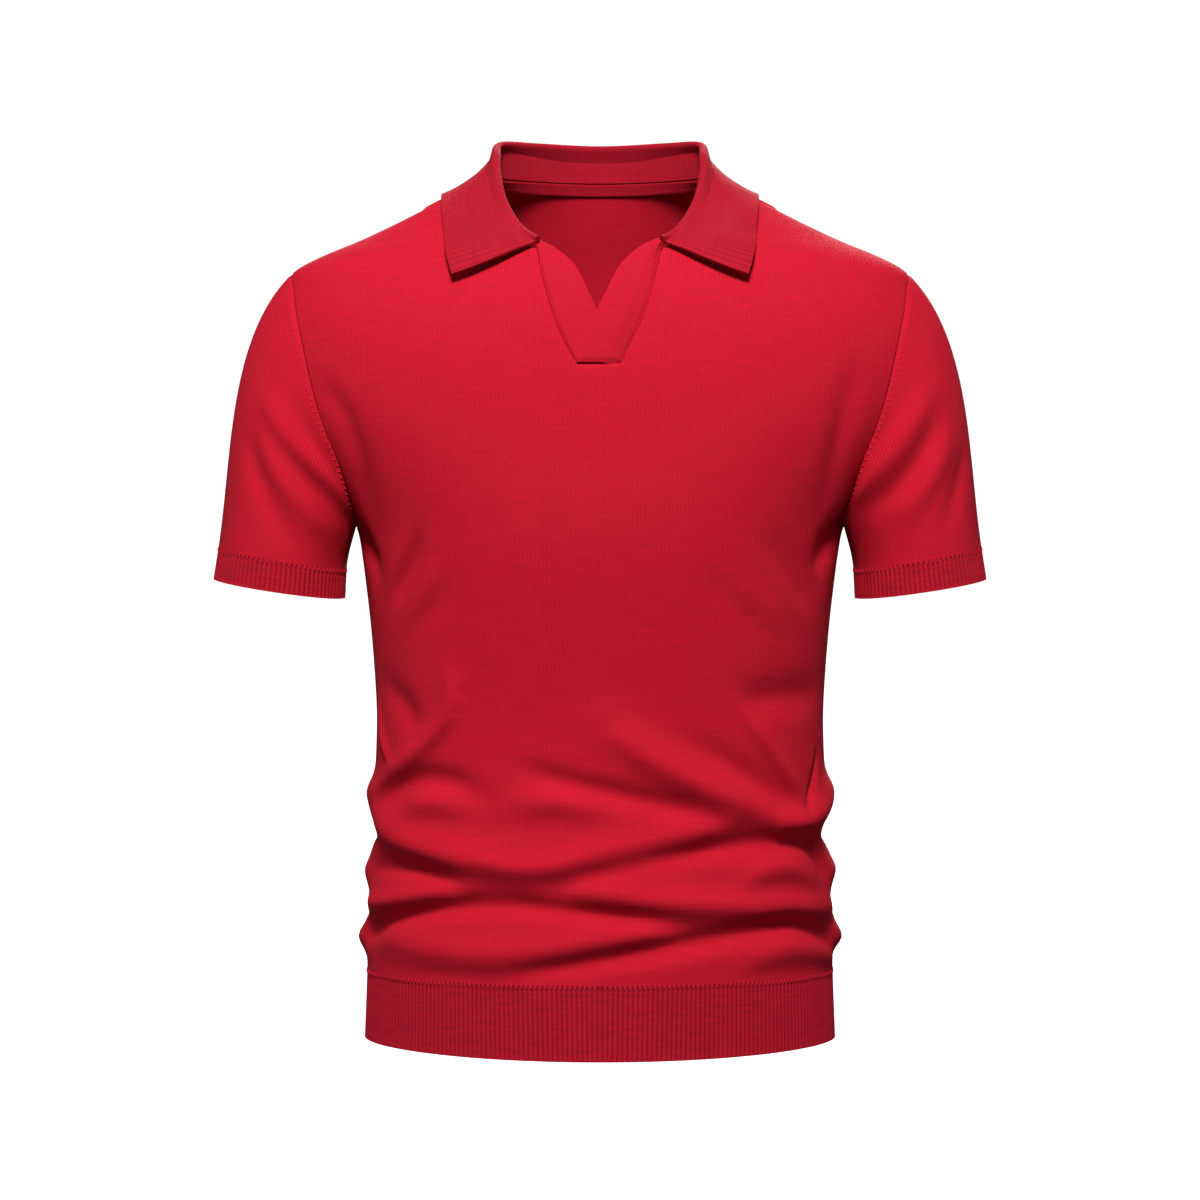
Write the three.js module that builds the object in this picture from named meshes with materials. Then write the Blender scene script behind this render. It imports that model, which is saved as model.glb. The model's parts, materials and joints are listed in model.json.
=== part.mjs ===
// A short-sleeved knitted polo shirt with an open notched collar and no buttons, filled out as if worn.
// Every piece that a maker knits and links together is its own solid, a wall of real thickness.
// +X is the wearer's left, the front faces -Y and +Z is up. The origin is between the shoulders, at the
// base of the neck. "turn" is the place round the body in degrees: 0 at the middle of the front, 90 at
// the side seam and 180 at the middle of the back, negative on the wearer's right.

import * as THREE from "three";
import { mergeVertices } from "three/addons/utils/BufferGeometryUtils.js";

// Driving dimensions, in millimetres
const BODY_WALL = 1.6;
const RIB_WALL = 1.9;
const COLLAR_WALL = 2;
const TAPE_WALL = 0.9;
const SEAM_GAP = 0.3;
const HEM_SEAM = -575;
const HEM_BOTTOM = -625;
const HEM_DIP = 3;
const HEM_RIB_PITCH = 3.5;
const CUFF_RIB_PITCH = 4;
const RIB_RELIEF = 0.55;
const SHELF = -330;
const TIP_HEIGHT = -61;
const ARMPIT_HEIGHT = -248;
const ARMHOLE_DEPTH = 30;
const NECK_TURN = 15;
const SIDE_NECK_TURN = 29;
const TIP_TURN = 50;
const ARMHOLE_SPREAD = 0.9;
const TAPE_HEIGHT = 8.5;
const TAPE_DROP = 0.5;
const TAPE_GAP = 0.8;

const CLOTH = { color: 0xc8142f, roughness: 0.85, metalness: 0 };
const RIB = { color: 0xb5122b, roughness: 0.88, metalness: 0 };
const TAPE = { color: 0xa00f26, roughness: 0.8, metalness: 0 };

// Level sections of the body: ovals that share a half width and have their own depth and squareness in
// front and behind. Above the armpit an oval reaches into the sleeve, where the armhole cuts it; above
// the tip of the shoulder its end is the shoulder seam, and near the top the neck.
const TORSO = [
  { z: -628, half: 174, front: 115, back: 105, square: 2, squareBack: 2 },
  { z: -575, half: 172, front: 112, back: 102, square: 2.05, squareBack: 2.05 },
  { z: -525, half: 171, front: 110, back: 99, square: 2.1, squareBack: 2.1 },
  { z: -470, half: 167.5, front: 106, back: 95, square: 2.15, squareBack: 2.1 },
  { z: -418, half: 165.5, front: 104, back: 92, square: 2.2, squareBack: 2.15 },
  { z: -383, half: 165, front: 105, back: 92, square: 2.2, squareBack: 2.15 },
  { z: -330, half: 168.5, front: 110, back: 96, square: 2.2, squareBack: 2.15 },
  { z: -285, half: 173.5, front: 115, back: 100, square: 2.2, squareBack: 2.15 },
  { z: -262, half: 177, front: 117, back: 103, square: 2.2, squareBack: 2.15 },
  { z: -248, half: 181, front: 117.5, back: 104.5, square: 2.2, squareBack: 2.15 },
  { z: -230, half: 190, front: 117.5, back: 106, square: 2.2, squareBack: 2.15 },
  { z: -200, half: 210, front: 116, back: 108.5, square: 2.2, squareBack: 2.15 },
  { z: -175, half: 227, front: 114, back: 110, square: 2.18, squareBack: 2.12 },
  { z: -150, half: 238, front: 111.5, back: 111, square: 2.14, squareBack: 2.1 },
  { z: -121, half: 242.5, front: 107, back: 110, square: 2.08, squareBack: 2.06 },
  { z: -95, half: 241, front: 101, back: 107.5, square: 1.98, squareBack: 2 },
  { z: -75, half: 234.5, front: 93.5, back: 104, square: 1.88, squareBack: 1.95 },
  { z: -61, half: 227, front: 86, back: 100.5, square: 1.8, squareBack: 1.92 },
  { z: -50, half: 208, front: 78.5, back: 97.5, square: 1.72, squareBack: 1.9 },
  { z: -37, half: 177, front: 67, back: 93.5, square: 1.66, squareBack: 1.9 },
  { z: -23, half: 148, front: 51, back: 89, square: 1.65, squareBack: 1.9 },
  { z: -6, half: 115, front: 28, back: 84, square: 1.66, squareBack: 1.95 },
  { z: 3, half: 95, front: 16, back: 81.5, square: 1.7, squareBack: 2 },
  { z: 8, half: 85, front: 10, back: 80, square: 1.75, squareBack: 2 },
  { z: 15, half: 81, front: 8, back: 78, square: 1.8, squareBack: 2 },
];

// The neck seam from its front end, by the placket (at 0), over the shoulder to the middle of the back (at 1)
const NECKLINE = [
  { at: 0, x: 46, z: -50 },
  { at: 0.12, x: 56.5, z: -44 },
  { at: 0.26, x: 67, z: -36 },
  { at: 0.38, x: 75.5, z: -23 },
  { at: 0.48, x: 81, z: -6 },
  { at: 0.55, x: 85, z: 8 },
  { at: 0.68, x: 77, z: 12 },
  { at: 0.84, x: 49, z: 14.5 },
  { at: 1, x: 0, z: 15 },
  { at: 1.16, x: -49, z: 14.5 },
];
const SIDE_NECK_AT = 0.55;
const NECK_LEVEL = 8;
const CHEST_TOP = -64;

// The slit in the front panel, from its lower end up to the neck seam: the edge on each side
const SLIT = [
  { z: -136, right: -17, left: 15.5 },
  { z: -126, right: -22.5, left: 19.5 },
  { z: -109, right: -30.5, left: 28 },
  { z: -88, right: -37, left: 35.2 },
  { z: -69, right: -42, left: 40 },
  { z: -48, right: -45.5, left: 44.8 },
];
const SLIT_BOTTOM = -136;

// Folds, each along a path through three places. x is the distance round the body from the middle of the
// front, or of the back, and z the height, in mm; above and below are the fold's widths on the two sides of
// its path. A ridge has a height over zero and a trough one below it. On a sleeve x is the distance from
// its outside, to the front when positive.
const MM_PER_TURN = 2.45;
const MM_PER_SLEEVE = 330;
const FOLD_STEPS = 8;
const HEM_FADE = 12;
const FRONT_FOLDS = [
  // ridges round the waist
  { x0: -215, z0: -446, x1: -46, z1: -485, x2: 70, z2: -455, above: 15, below: 11, height: 6 },
  { x0: 4, z0: -385, x1: 48, z1: -424, x2: 131, z2: -458, above: 14, below: 11, height: 5.5 },
  { x0: 112, z0: -458, x1: 155, z1: -456, x2: 228, z2: -436, above: 12, below: 10, height: 5 },
  { x0: -77, z0: -503, x1: -140, z1: -514, x2: -205, z2: -519, above: 8, below: 8, height: 4 },
  { x0: -18, z0: -500, x1: 60, z1: -513, x2: 215, z2: -522, above: 10, below: 9, height: 4.5 },
  { x0: -160, z0: -541, x1: -44, z1: -547, x2: 45, z2: -526, above: 12, below: 12, height: 4 },
  { x0: 90, z0: -556, x1: 130, z1: -548, x2: 205, z2: -560, above: 10, below: 10, height: 3 },
  // their troughs
  { x0: -190, z0: -495, x1: -134, z1: -489, x2: -82, z2: -500, above: 9, below: 7, height: -4.5 },
  { x0: -22, z0: -498, x1: 43, z1: -477, x2: 135, z2: -470, above: 9, below: 8, height: -5.5 },
  { x0: 118, z0: -470, x1: 160, z1: -477, x2: 190, z2: -508, above: 8, below: 7, height: -4.5 },
  { x0: -210, z0: -550, x1: -119, z1: -520, x2: -30, z2: -514, above: 9, below: 8, height: -5.5 },
  { x0: -50, z0: -513, x1: 0, z1: -519, x2: 52, z2: -528, above: 7, below: 7, height: -4 },
  { x0: -45, z0: -562, x1: 34, z1: -543, x2: 125, z2: -529, above: 8, below: 8, height: -5 },
  { x0: 108, z0: -529, x1: 150, z1: -534, x2: 215, z2: -557, above: 8, below: 8, height: -4.5 },
  // hollows and domes over them
  { x0: -180, z0: -441, x1: -118, z1: -419, x2: -72, z2: -430, above: 9, below: 10, height: -4 },
  { x0: -40, z0: -417, x1: 5, z1: -434, x2: 70, z2: -452, above: 8, below: 8, height: -4 },
  { x0: -62, z0: -474, x1: -38, z1: -478, x2: -14, z2: -471, above: 8, below: 7, height: -2 },
  { x0: 50, z0: -397, x1: 97, z1: -426, x2: 135, z2: -449, above: 10, below: 9, height: -3.5 },
  { x0: 85, z0: -371, x1: 123, z1: -367, x2: 175, z2: -367, above: 14, below: 12, height: -3 },
  { x0: -170, z0: -358, x1: -140, z1: -374, x2: -128, z2: -392, above: 12, below: 12, height: -2.5 },
  { x0: -135, z0: -446, x1: -108, z1: -441, x2: -80, z2: -446, above: 10, below: 10, height: 3 },
  { x0: -50, z0: -446, x1: -24, z1: -440, x2: 2, z2: -446, above: 10, below: 10, height: 3 },
  { x0: 84, z0: -500, x1: 121, z1: -489, x2: 162, z2: -504, above: 9, below: 9, height: 3.5 },
  // thin creases at the sides
  { x0: -96, z0: -348, x1: -108, z1: -394, x2: -190, z2: -436, above: 9, below: 7, height: 3.5 },
  { x0: 86, z0: -372, x1: 112, z1: -405, x2: 147, z2: -441, above: 7, below: 6, height: 3 },
  { x0: 178, z0: -408, x1: 164, z1: -431, x2: 148, z2: -449, above: 4, below: 4, height: -2.5 },
  { x0: -190, z0: -370, x1: -178, z1: -398, x2: -156, z2: -417, above: 4, below: 4, height: 2 },
  // bulges and notches that show in the outline, right and left
  { x0: -180, z0: -444, x1: -222, z1: -443, x2: -270, z2: -446, above: 11, below: 11, height: 3 },
  { x0: -185, z0: -474, x1: -222, z1: -471, x2: -275, z2: -470, above: 9, below: 9, height: -5 },
  { x0: -200, z0: -504, x1: -225, z1: -502, x2: -270, z2: -502, above: 10, below: 10, height: 4 },
  { x0: -195, z0: -527, x1: -222, z1: -526, x2: -270, z2: -525, above: 8, below: 8, height: -3 },
  { x0: -190, z0: -553, x1: -225, z1: -552, x2: -275, z2: -552, above: 11, below: 10, height: 7 },
  { x0: 185, z0: -442, x1: 222, z1: -441, x2: 270, z2: -446, above: 11, below: 11, height: 3 },
  { x0: 185, z0: -476, x1: 222, z1: -473, x2: 275, z2: -470, above: 9, below: 9, height: -5 },
  { x0: 190, z0: -503, x1: 225, z1: -501, x2: 270, z2: -502, above: 10, below: 10, height: 4.5 },
  { x0: 195, z0: -526, x1: 222, z1: -525, x2: 270, z2: -525, above: 8, below: 8, height: -3 },
  { x0: 190, z0: -553, x1: 225, z1: -551, x2: 275, z2: -552, above: 11, below: 10, height: 7 },
  // drag from the armpits
  { x0: -205, z0: -255, x1: -170, z1: -262, x2: -150, z2: -285, above: 14, below: 12, height: -4 },
  { x0: 205, z0: -255, x1: 170, z1: -262, x2: 150, z2: -285, above: 14, below: 12, height: -4 },
  { x0: -116, z0: -257, x1: -131, z1: -275, x2: -152, z2: -299, above: 5, below: 5, height: 2 },
  { x0: -103, z0: -262, x1: -118, z1: -281, x2: -139, z2: -302, above: 7, below: 7, height: -2.5 },
  { x0: -96, z0: -280, x1: -108, z1: -297, x2: -128, z2: -316, above: 6, below: 6, height: 1.8 },
  { x0: -87, z0: -291, x1: -99, z1: -306, x2: -119, z2: -322, above: 8, below: 8, height: -2 },
  { x0: 100, z0: -257, x1: 119, z1: -277, x2: 146, z2: -297, above: 5, below: 5, height: 2.5 },
  { x0: 82, z0: -267, x1: 103, z1: -285, x2: 130, z2: -302, above: 7, below: 7, height: -3 },
  { x0: 75, z0: -287, x1: 92, z1: -303, x2: 120, z2: -318, above: 6, below: 6, height: 2 },
  { x0: 58, z0: -284, x1: 74, z1: -303, x2: 99, z2: -322, above: 8, below: 8, height: -2 },
  { x0: -138, z0: -150, x1: -128, z1: -185, x2: -160, z2: -245, above: 9, below: 9, height: -3.5 },
  { x0: 118, z0: -140, x1: 121, z1: -182, x2: 145, z2: -235, above: 9, below: 9, height: -3.5 },
];
const BACK_FOLDS = [
  { x0: -225, z0: -447, x1: -60, z1: -480, x2: 60, z2: -462, above: 14, below: 11, height: 5 },
  { x0: 20, z0: -395, x1: 80, z1: -428, x2: 190, z2: -450, above: 13, below: 11, height: 5 },
  { x0: -200, z0: -515, x1: -110, z1: -508, x2: -30, z2: -512, above: 9, below: 8, height: 4 },
  { x0: -10, z0: -503, x1: 90, z1: -510, x2: 210, z2: -520, above: 10, below: 9, height: 4.5 },
  { x0: -150, z0: -542, x1: -20, z1: -548, x2: 80, z2: -534, above: 12, below: 11, height: 4 },
  { x0: -190, z0: -490, x1: -120, z1: -488, x2: -60, z2: -497, above: 9, below: 8, height: -4 },
  { x0: -30, z0: -495, x1: 60, z1: -480, x2: 170, z2: -474, above: 9, below: 8, height: -5 },
  { x0: -200, z0: -545, x1: -100, z1: -522, x2: 10, z2: -520, above: 9, below: 8, height: -5 },
  { x0: -10, z0: -560, x1: 80, z1: -545, x2: 190, z2: -535, above: 8, below: 8, height: -4.5 },
  { x0: -120, z0: -430, x1: -40, z1: -420, x2: 40, z2: -436, above: 10, below: 10, height: -3.5 },
  // the shoulder blades and the hollow between them
  { x0: 60, z0: -110, x1: 95, z1: -165, x2: 115, z2: -240, above: 24, below: 24, height: 3 },
  { x0: -60, z0: -110, x1: -95, z1: -165, x2: -115, z2: -240, above: 24, below: 24, height: 3 },
  { x0: 0, z0: -90, x1: 0, z1: -190, x2: 0, z2: -330, above: 26, below: 26, height: -4 },
];
const SLEEVE_FOLDS_LEFT = [
  { x0: 55, z0: -148, x1: 98, z1: -203, x2: 130, z2: -228, above: 8, below: 8, height: 4.5 },
  { x0: 75, z0: -150, x1: 110, z1: -192, x2: 140, z2: -220, above: 7, below: 7, height: -3 },
  { x0: 60, z0: -175, x1: 84, z1: -210, x2: 115, z2: -238, above: 7, below: 7, height: -3 },
  { x0: 48, z0: -180, x1: 69, z1: -214, x2: 98, z2: -246, above: 8, below: 8, height: 3 },
  { x0: 30, z0: -195, x1: 46, z1: -222, x2: 62, z2: -252, above: 8, below: 8, height: -2.5 },
  { x0: -56, z0: -155, x1: -92, z1: -200, x2: -130, z2: -230, above: 8, below: 8, height: 4 },
  { x0: -62, z0: -178, x1: -92, z1: -218, x2: -128, z2: -246, above: 8, below: 8, height: -3 },
  { x0: -44, z0: -190, x1: -66, z1: -224, x2: -92, z2: -256, above: 8, below: 8, height: 2.5 },
];
const SLEEVE_FOLDS_RIGHT = [
  { x0: 55, z0: -155, x1: 84, z1: -193, x2: 131, z2: -234, above: 7, below: 7, height: 4.5 },
  { x0: 77, z0: -160, x1: 107, z1: -203, x2: 134, z2: -228, above: 7, below: 6, height: -3.5 },
  { x0: 66, z0: -172, x1: 102, z1: -218, x2: 146, z2: -250, above: 8, below: 8, height: -3.5 },
  { x0: 58, z0: -185, x1: 84, z1: -222, x2: 120, z2: -256, above: 8, below: 8, height: 2.5 },
  { x0: 46, z0: -185, x1: 69, z1: -225, x2: 96, z2: -266, above: 9, below: 9, height: -3 },
  { x0: -54, z0: -150, x1: -88, z1: -198, x2: -132, z2: -232, above: 8, below: 8, height: 4 },
  { x0: -60, z0: -176, x1: -94, z1: -216, x2: -134, z2: -248, above: 8, below: 8, height: -3 },
  { x0: -46, z0: -188, x1: -68, z1: -226, x2: -96, z2: -260, above: 8, below: 8, height: 2.5 },
];

// Reads a table at one value of its key column, on a smooth curve through its rows.
function sample(table, key, value) {
  const last = table.length - 1;
  const at = clamp(value, table[0][key], table[last][key]);
  let i = 0;
  while (i < last - 1 && at > table[i + 1][key]) i++;
  const slope = (k, column) => {
    const before = table[Math.max(k - 1, 0)];
    const after = table[Math.min(k + 1, last)];
    return (after[column] - before[column]) / (after[key] - before[key]);
  };
  const span = table[i + 1][key] - table[i][key];
  const t = (at - table[i][key]) / span;
  const row = {};
  for (const column of Object.keys(table[0])) {
    row[column] = hermite(table[i][column], slope(i, column) * span,
      table[i + 1][column], slope(i + 1, column) * span, t);
  }
  return row;
}

// A cubic from a to b with the given slopes at its ends.
function hermite(a, slopeA, b, slopeB, t) {
  const s = 1 - t;
  return a * (1 + 2 * t) * s * s + slopeA * t * s * s + b * t * t * (3 - 2 * t) - slopeB * t * t * s;
}

function hermitePoint(from, leave, to, arrive, t) {
  return new THREE.Vector3(
    hermite(from.x, leave.x, to.x, arrive.x, t),
    hermite(from.y, leave.y, to.y, arrive.y, t),
    hermite(from.z, leave.z, to.z, arrive.z, t),
  );
}

const { degToRad: radians, clamp, lerp, smoothstep } = THREE.MathUtils;
const mirror = (point, side) => new THREE.Vector3(side * point.x, point.y, point.z);

// The oval at height z, for the front or the back.
function oval(z, isFront) {
  const { half, front, back, square, squareBack } = sample(TORSO, "z", z);
  return isFront ? { half, depth: front, square } : { half, depth: back, square: squareBack };
}

// A point of the smooth body under the folds.
function body(turn, z) {
  const angle = radians(turn);
  const { half, depth, square } = oval(z, Math.cos(angle) >= 0);
  return new THREE.Vector3(
    Math.sign(Math.sin(angle)) * half * Math.abs(Math.sin(angle)) ** (2 / square),
    -Math.sign(Math.cos(angle)) * depth * Math.abs(Math.cos(angle)) ** (2 / square),
    z,
  );
}

// The turn of the point that lies x to the side at height z.
function turnAt(x, z, isFront) {
  const { half, square } = oval(z, isFront);
  const ratio = Math.min(Math.abs(x) / half, 1) ** (square / 2);
  const turn = Math.sign(x) * THREE.MathUtils.radToDeg(Math.asin(ratio));
  if (isFront) return turn;
  return x < 0 ? -180 - turn : 180 - turn;
}

// The cloth of the body with its folds, which die out at the hem's seam.
function cloth(turn, z) {
  const round = turn > 180 ? turn - 360 : turn;
  const fromBack = (round < 0 ? -180 : 180) - round;
  const height = foldHeight(FRONT_FOLDS, round * MM_PER_TURN, z)
    + foldHeight(BACK_FOLDS, fromBack * MM_PER_TURN, z);
  const out = outOf(body, turn, z, 0.8, 2);
  return body(turn, z).addScaledVector(out, height * smoothstep(z, HEM_SEAM, HEM_SEAM + HEM_FADE));
}

const clothOut = (turn, z) => outOf(cloth, turn, z, 1, 3);

// The direction out of a surface at (a, b), from points a step to each side.
function outOf(surface, a, b, stepA, stepB) {
  const across = surface(a + stepA, b).sub(surface(a - stepA, b));
  const along = surface(a, b + stepB).sub(surface(a, b - stepB));
  return across.cross(along).normalize();
}

// How far a set of folds lifts the cloth at one place, given across and along it.
function foldHeight(folds, across, along) {
  let height = 0;
  for (const fold of folds) height += foldLift(fold, across, along);
  return height;
}

// One fold: a soft ridge, or a trough, that dies out at its ends.
function foldLift(fold, across, along) {
  const reach = 3 * Math.max(fold.above, fold.below);
  const isFar = (value, from, middle, to) =>
    value < Math.min(from, middle, to) - reach || value > Math.max(from, middle, to) + reach;
  if (isFar(across, fold.x0, fold.x1, fold.x2) || isFar(along, fold.z0, fold.z1, fold.z2)) return 0;
  let nearest = Infinity;
  let lift = 0;
  let from = foldPath(fold, 0);
  for (let i = 1; i <= FOLD_STEPS; i++) {
    const to = foldPath(fold, i / FOLD_STEPS);
    const step = to.clone().sub(from);
    const t = clamp(new THREE.Vector2(across, along).sub(from).dot(step) / step.lengthSq(), 0, 1);
    const foot = from.clone().addScaledVector(step, t);
    const width = along > foot.y ? fold.above : fold.below;
    const distance = Math.hypot(across - foot.x, along - foot.y) / width;
    if (distance < nearest) {
      nearest = distance;
      const s = (i - 1 + t) / FOLD_STEPS;
      lift = fold.height * Math.exp(-distance * distance) * (4 * s * (1 - s) + 0.15) ** 0.7;
    }
    from = to;
  }
  return lift;
}

// A place on a fold's path, from its start (s 0) through its middle to its end.
function foldPath(fold, s) {
  const weights = [(1 - s) * (1 - 2 * s), 4 * s * (1 - s), s * (2 * s - 1)];
  return new THREE.Vector2(
    weights[0] * fold.x0 + weights[1] * fold.x1 + weights[2] * fold.x2,
    weights[0] * fold.z0 + weights[1] * fold.z1 + weights[2] * fold.z2,
  );
}

// The armhole seam on the wearer's left as a turn and a height: way is 0 at the shoulder and 1 at the armpit.
function armhole(way, isFront) {
  const back = ARMHOLE_DEPTH * Math.sin(Math.PI * way);
  return {
    turn: isFront ? 90 - back : 90 + back,
    z: lerp(TIP_HEIGHT, ARMPIT_HEIGHT, (1 - Math.cos(Math.PI * way)) / 2),
  };
}

// The neck seam as a turn and a height.
function neckSeam(at) {
  const { x, z } = sample(NECKLINE, "at", at);
  return { turn: turnAt(x, z, at < SIDE_NECK_AT), z };
}

const armholeWay = (away) => ((away - TIP_TURN) / (90 - TIP_TURN)) ** ARMHOLE_SPREAD;

// Where a column of cloth ends on the wearer's left. away is how far its foot is from its panel's middle.
function columnTop(away, isFront) {
  if (away > TIP_TURN) return armhole(armholeWay(away), isFront);
  if (away > SIDE_NECK_TURN) {
    const out = (away - SIDE_NECK_TURN) / (TIP_TURN - SIDE_NECK_TURN);
    return { turn: 90, z: lerp(NECK_LEVEL, TIP_HEIGHT, out ** 1.1) };
  }
  if (!isFront) return neckSeam(lerp(1, SIDE_NECK_AT, away / SIDE_NECK_TURN));
  if (away > NECK_TURN) {
    return neckSeam(lerp(0, SIDE_NECK_AT, (away - NECK_TURN) / (SIDE_NECK_TURN - NECK_TURN)));
  }
  const out = away / NECK_TURN;
  const z = lerp(CHEST_TOP, NECKLINE[0].z, out * out);
  return { turn: turnAt(out * NECKLINE[0].x, z, true), z };
}

// How far round the body each step from a panel's middle to its side lies, at one height.
const ARC_STEPS = 60;
function arcsAt(z, isFront) {
  const arcs = [0];
  let before = body(isFront ? 0 : 180, z);
  for (let i = 1; i <= ARC_STEPS; i++) {
    const away = (90 * i) / ARC_STEPS;
    const here = body(isFront ? away : 180 - away, z);
    arcs.push(arcs[i - 1] + here.distanceTo(before));
    before = here;
  }
  return arcs;
}

function arcOf({ turn, z }, isFront) {
  const arcs = arcsAt(z, isFront);
  const step = ((isFront ? turn : 180 - turn) / 90) * ARC_STEPS;
  const i = Math.min(Math.floor(step), ARC_STEPS - 1);
  return lerp(arcs[i], arcs[i + 1], step - i);
}

function turnOfArc(arc, z, isFront) {
  const arcs = arcsAt(z, isFront);
  let i = 0;
  while (i < ARC_STEPS - 1 && arcs[i + 1] < arc) i++;
  const away = (90 * (i + Math.min((arc - arcs[i]) / (arcs[i + 1] - arcs[i]), 1))) / ARC_STEPS;
  return isFront ? away : 180 - away;
}

// How much longer the way round to the side is, below the armpit, than an even blend makes it.
function sideSlack(z, isFront) {
  const here = clamp(z, SHELF, ARMPIT_HEIGHT);
  const t = (here - SHELF) / (ARMPIT_HEIGHT - SHELF);
  const [low, middle, high] = [SHELF, here, ARMPIT_HEIGHT].map((level) => arcsAt(level, isFront)[ARC_STEPS]);
  return middle - lerp(low, high, t * t);
}

// A place on the wearer's left of a panel, as a turn and a height. level runs from 0 at the hem seam to 1
// at the shelf under the arms and to 2 at the panel's upper edge, the column's end.
function place(away, level, isFront, end) {
  const foot = { turn: isFront ? away : 180 - away, z: SHELF };
  if (level <= 1) return { turn: foot.turn, z: lerp(HEM_SEAM, SHELF, level) };
  const t = level - 1;
  const byArmhole = clamp((away - TIP_TURN) / (90 - TIP_TURN), 0, 1);
  const z = lerp(SHELF, end.z, lerp(t * (2 - t), t, Math.min(1, 2 * byArmhole)));
  const lean = lerp(t * t * (3 - 2 * t), t * t, smoothstep(away, NECK_TURN, TIP_TURN));
  const arc = lerp(arcOf(foot, isFront), arcOf(end, isFront), lean) + byArmhole ** 3 * sideSlack(z, isFront);
  return { turn: turnOfArc(arc, z, isFront), z };
}

// A list of triangles that becomes one closed mesh.
class Skin {
  constructor() {
    this.places = [];
  }

  triangle(a, b, c) {
    for (const p of [a, b, c]) this.places.push(p.x, p.y, p.z);
  }

  // Joins two rows of points that may differ in number, both evenly spread from end to end.
  join(low, high, isFlipped) {
    let i = 0;
    let j = 0;
    while (i < low.length - 1 || j < high.length - 1) {
      const stepLow = (i + 1) / (low.length - 1);
      const stepHigh = (j + 1) / (high.length - 1);
      const isLow = j === high.length - 1 || (i < low.length - 1 && stepLow <= stepHigh);
      const third = isLow ? low[i + 1] : high[j + 1];
      if (isFlipped) this.triangle(high[j], low[i], third);
      else this.triangle(low[i], high[j], third);
      if (isLow) i++;
      else j++;
    }
  }

  toMesh(name, look) {
    const loose = new THREE.BufferGeometry();
    loose.setAttribute("position", new THREE.Float32BufferAttribute(this.places, 3));
    const geometry = mergeVertices(loose, 1e-3);
    if (volumeOf(geometry) < 0) {
      const index = geometry.index.array;
      for (let i = 0; i < index.length; i += 3) [index[i], index[i + 1]] = [index[i + 1], index[i]];
    }
    geometry.computeVertexNormals();
    const mesh = new THREE.Mesh(geometry, new THREE.MeshStandardMaterial(look));
    mesh.name = name;
    return mesh;
  }
}

function volumeOf(geometry) {
  const place = geometry.getAttribute("position");
  const corner = (i) => new THREE.Vector3().fromBufferAttribute(place, geometry.index.array[i]);
  let volume = 0;
  for (let i = 0; i < geometry.index.count; i += 3) {
    volume += corner(i).dot(corner(i + 1).cross(corner(i + 2))) / 6;
  }
  return volume;
}

const column = (rows, c) => rows.map((row) => row[c]);
const lastOf = (list) => list[list.length - 1];

// A closed wall between an outer and an inner set of rows. A tube's rows end where they start.
function wall(name, look, outer, inner, isTube) {
  const skin = new Skin();
  for (let r = 0; r + 1 < outer.length; r++) skin.join(outer[r], outer[r + 1], false);
  for (let r = 0; r + 1 < inner.length; r++) skin.join(inner[r], inner[r + 1], true);
  skin.join(outer[0], inner[0], true);
  skin.join(lastOf(outer), lastOf(inner), false);
  if (!isTube) {
    const ends = [0, outer[0].length - 1];
    const innerEnds = [0, inner[0].length - 1];
    skin.join(column(outer, ends[0]), column(inner, innerEnds[0]), false);
    skin.join(column(outer, ends[1]), column(inner, innerEnds[1]), true);
  }
  return skin.toMesh(name, look);
}

const spread = (from, to, count) =>
  Array.from({ length: count + 1 }, (_, i) => lerp(from, to, i / count));

// The way out at the armhole and the shoulder seam, the same for the pieces that meet there, so that their
// rims lie flat against each other.
const armholePoint = (way, isFront) => {
  const { turn, z } = armhole(way, isFront);
  return body(turn, z);
};
const armholeCloth = (way, isFront, side) => {
  const { turn, z } = armhole(way, isFront);
  return mirror(cloth(side * turn, z), side);
};
const ARMHOLE_AXIS = armholePoint(0, true).sub(armholePoint(1, true)).cross(new THREE.Vector3(0, 1, 0))
  .normalize().negate();

function armholeOut(way, isFront) {
  const step = 0.02;
  const ahead = armholePoint(Math.min(way + step, 1), isFront);
  const behind = armholePoint(Math.max(way - step, 0), isFront);
  const out = ahead.sub(behind).cross(ARMHOLE_AXIS).normalize();
  return isFront ? out : out.negate();
}

function rimOut(away, isFront) {
  if (away >= TIP_TURN) return armholeOut(armholeWay(away), isFront);
  const along = body(90, columnTop(away + 0.5, true).z).sub(body(90, columnTop(away, true).z));
  return new THREE.Vector3(-along.z, 0, along.x).normalize();
}

// How far up a column of the front reaches before the slit cuts it.
function slitLevel(away, side) {
  const end = columnTop(away, true);
  const isInside = (level) => {
    const { turn, z } = place(away, level, true, end);
    const edge = sample(SLIT, "z", z);
    return z > SLIT_BOTTOM && body(turn, z).x < Math.abs(edge[side]);
  };
  let below = 1.3;
  let above = 2;
  if (!isInside(above)) return 2;
  for (let i = 0; i < 30; i++) {
    const middle = (below + above) / 2;
    if (isInside(middle)) above = middle;
    else below = middle;
  }
  return below;
}

// The foot of the front's column that passes through a place of the slit's edge.
function slitColumn(x, z) {
  let low = 0;
  let high = NECK_TURN;
  for (let i = 0; i < 30; i++) {
    const away = (low + high) / 2;
    const end = columnTop(away, true);
    let [under, over] = [1, 2];
    for (let k = 0; k < 30; k++) {
      const level = (under + over) / 2;
      if (place(away, level, true, end).z < z) under = level;
      else over = level;
    }
    if (body(place(away, under, true, end).turn, z).x < x) low = away;
    else high = away;
  }
  return low;
}

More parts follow.
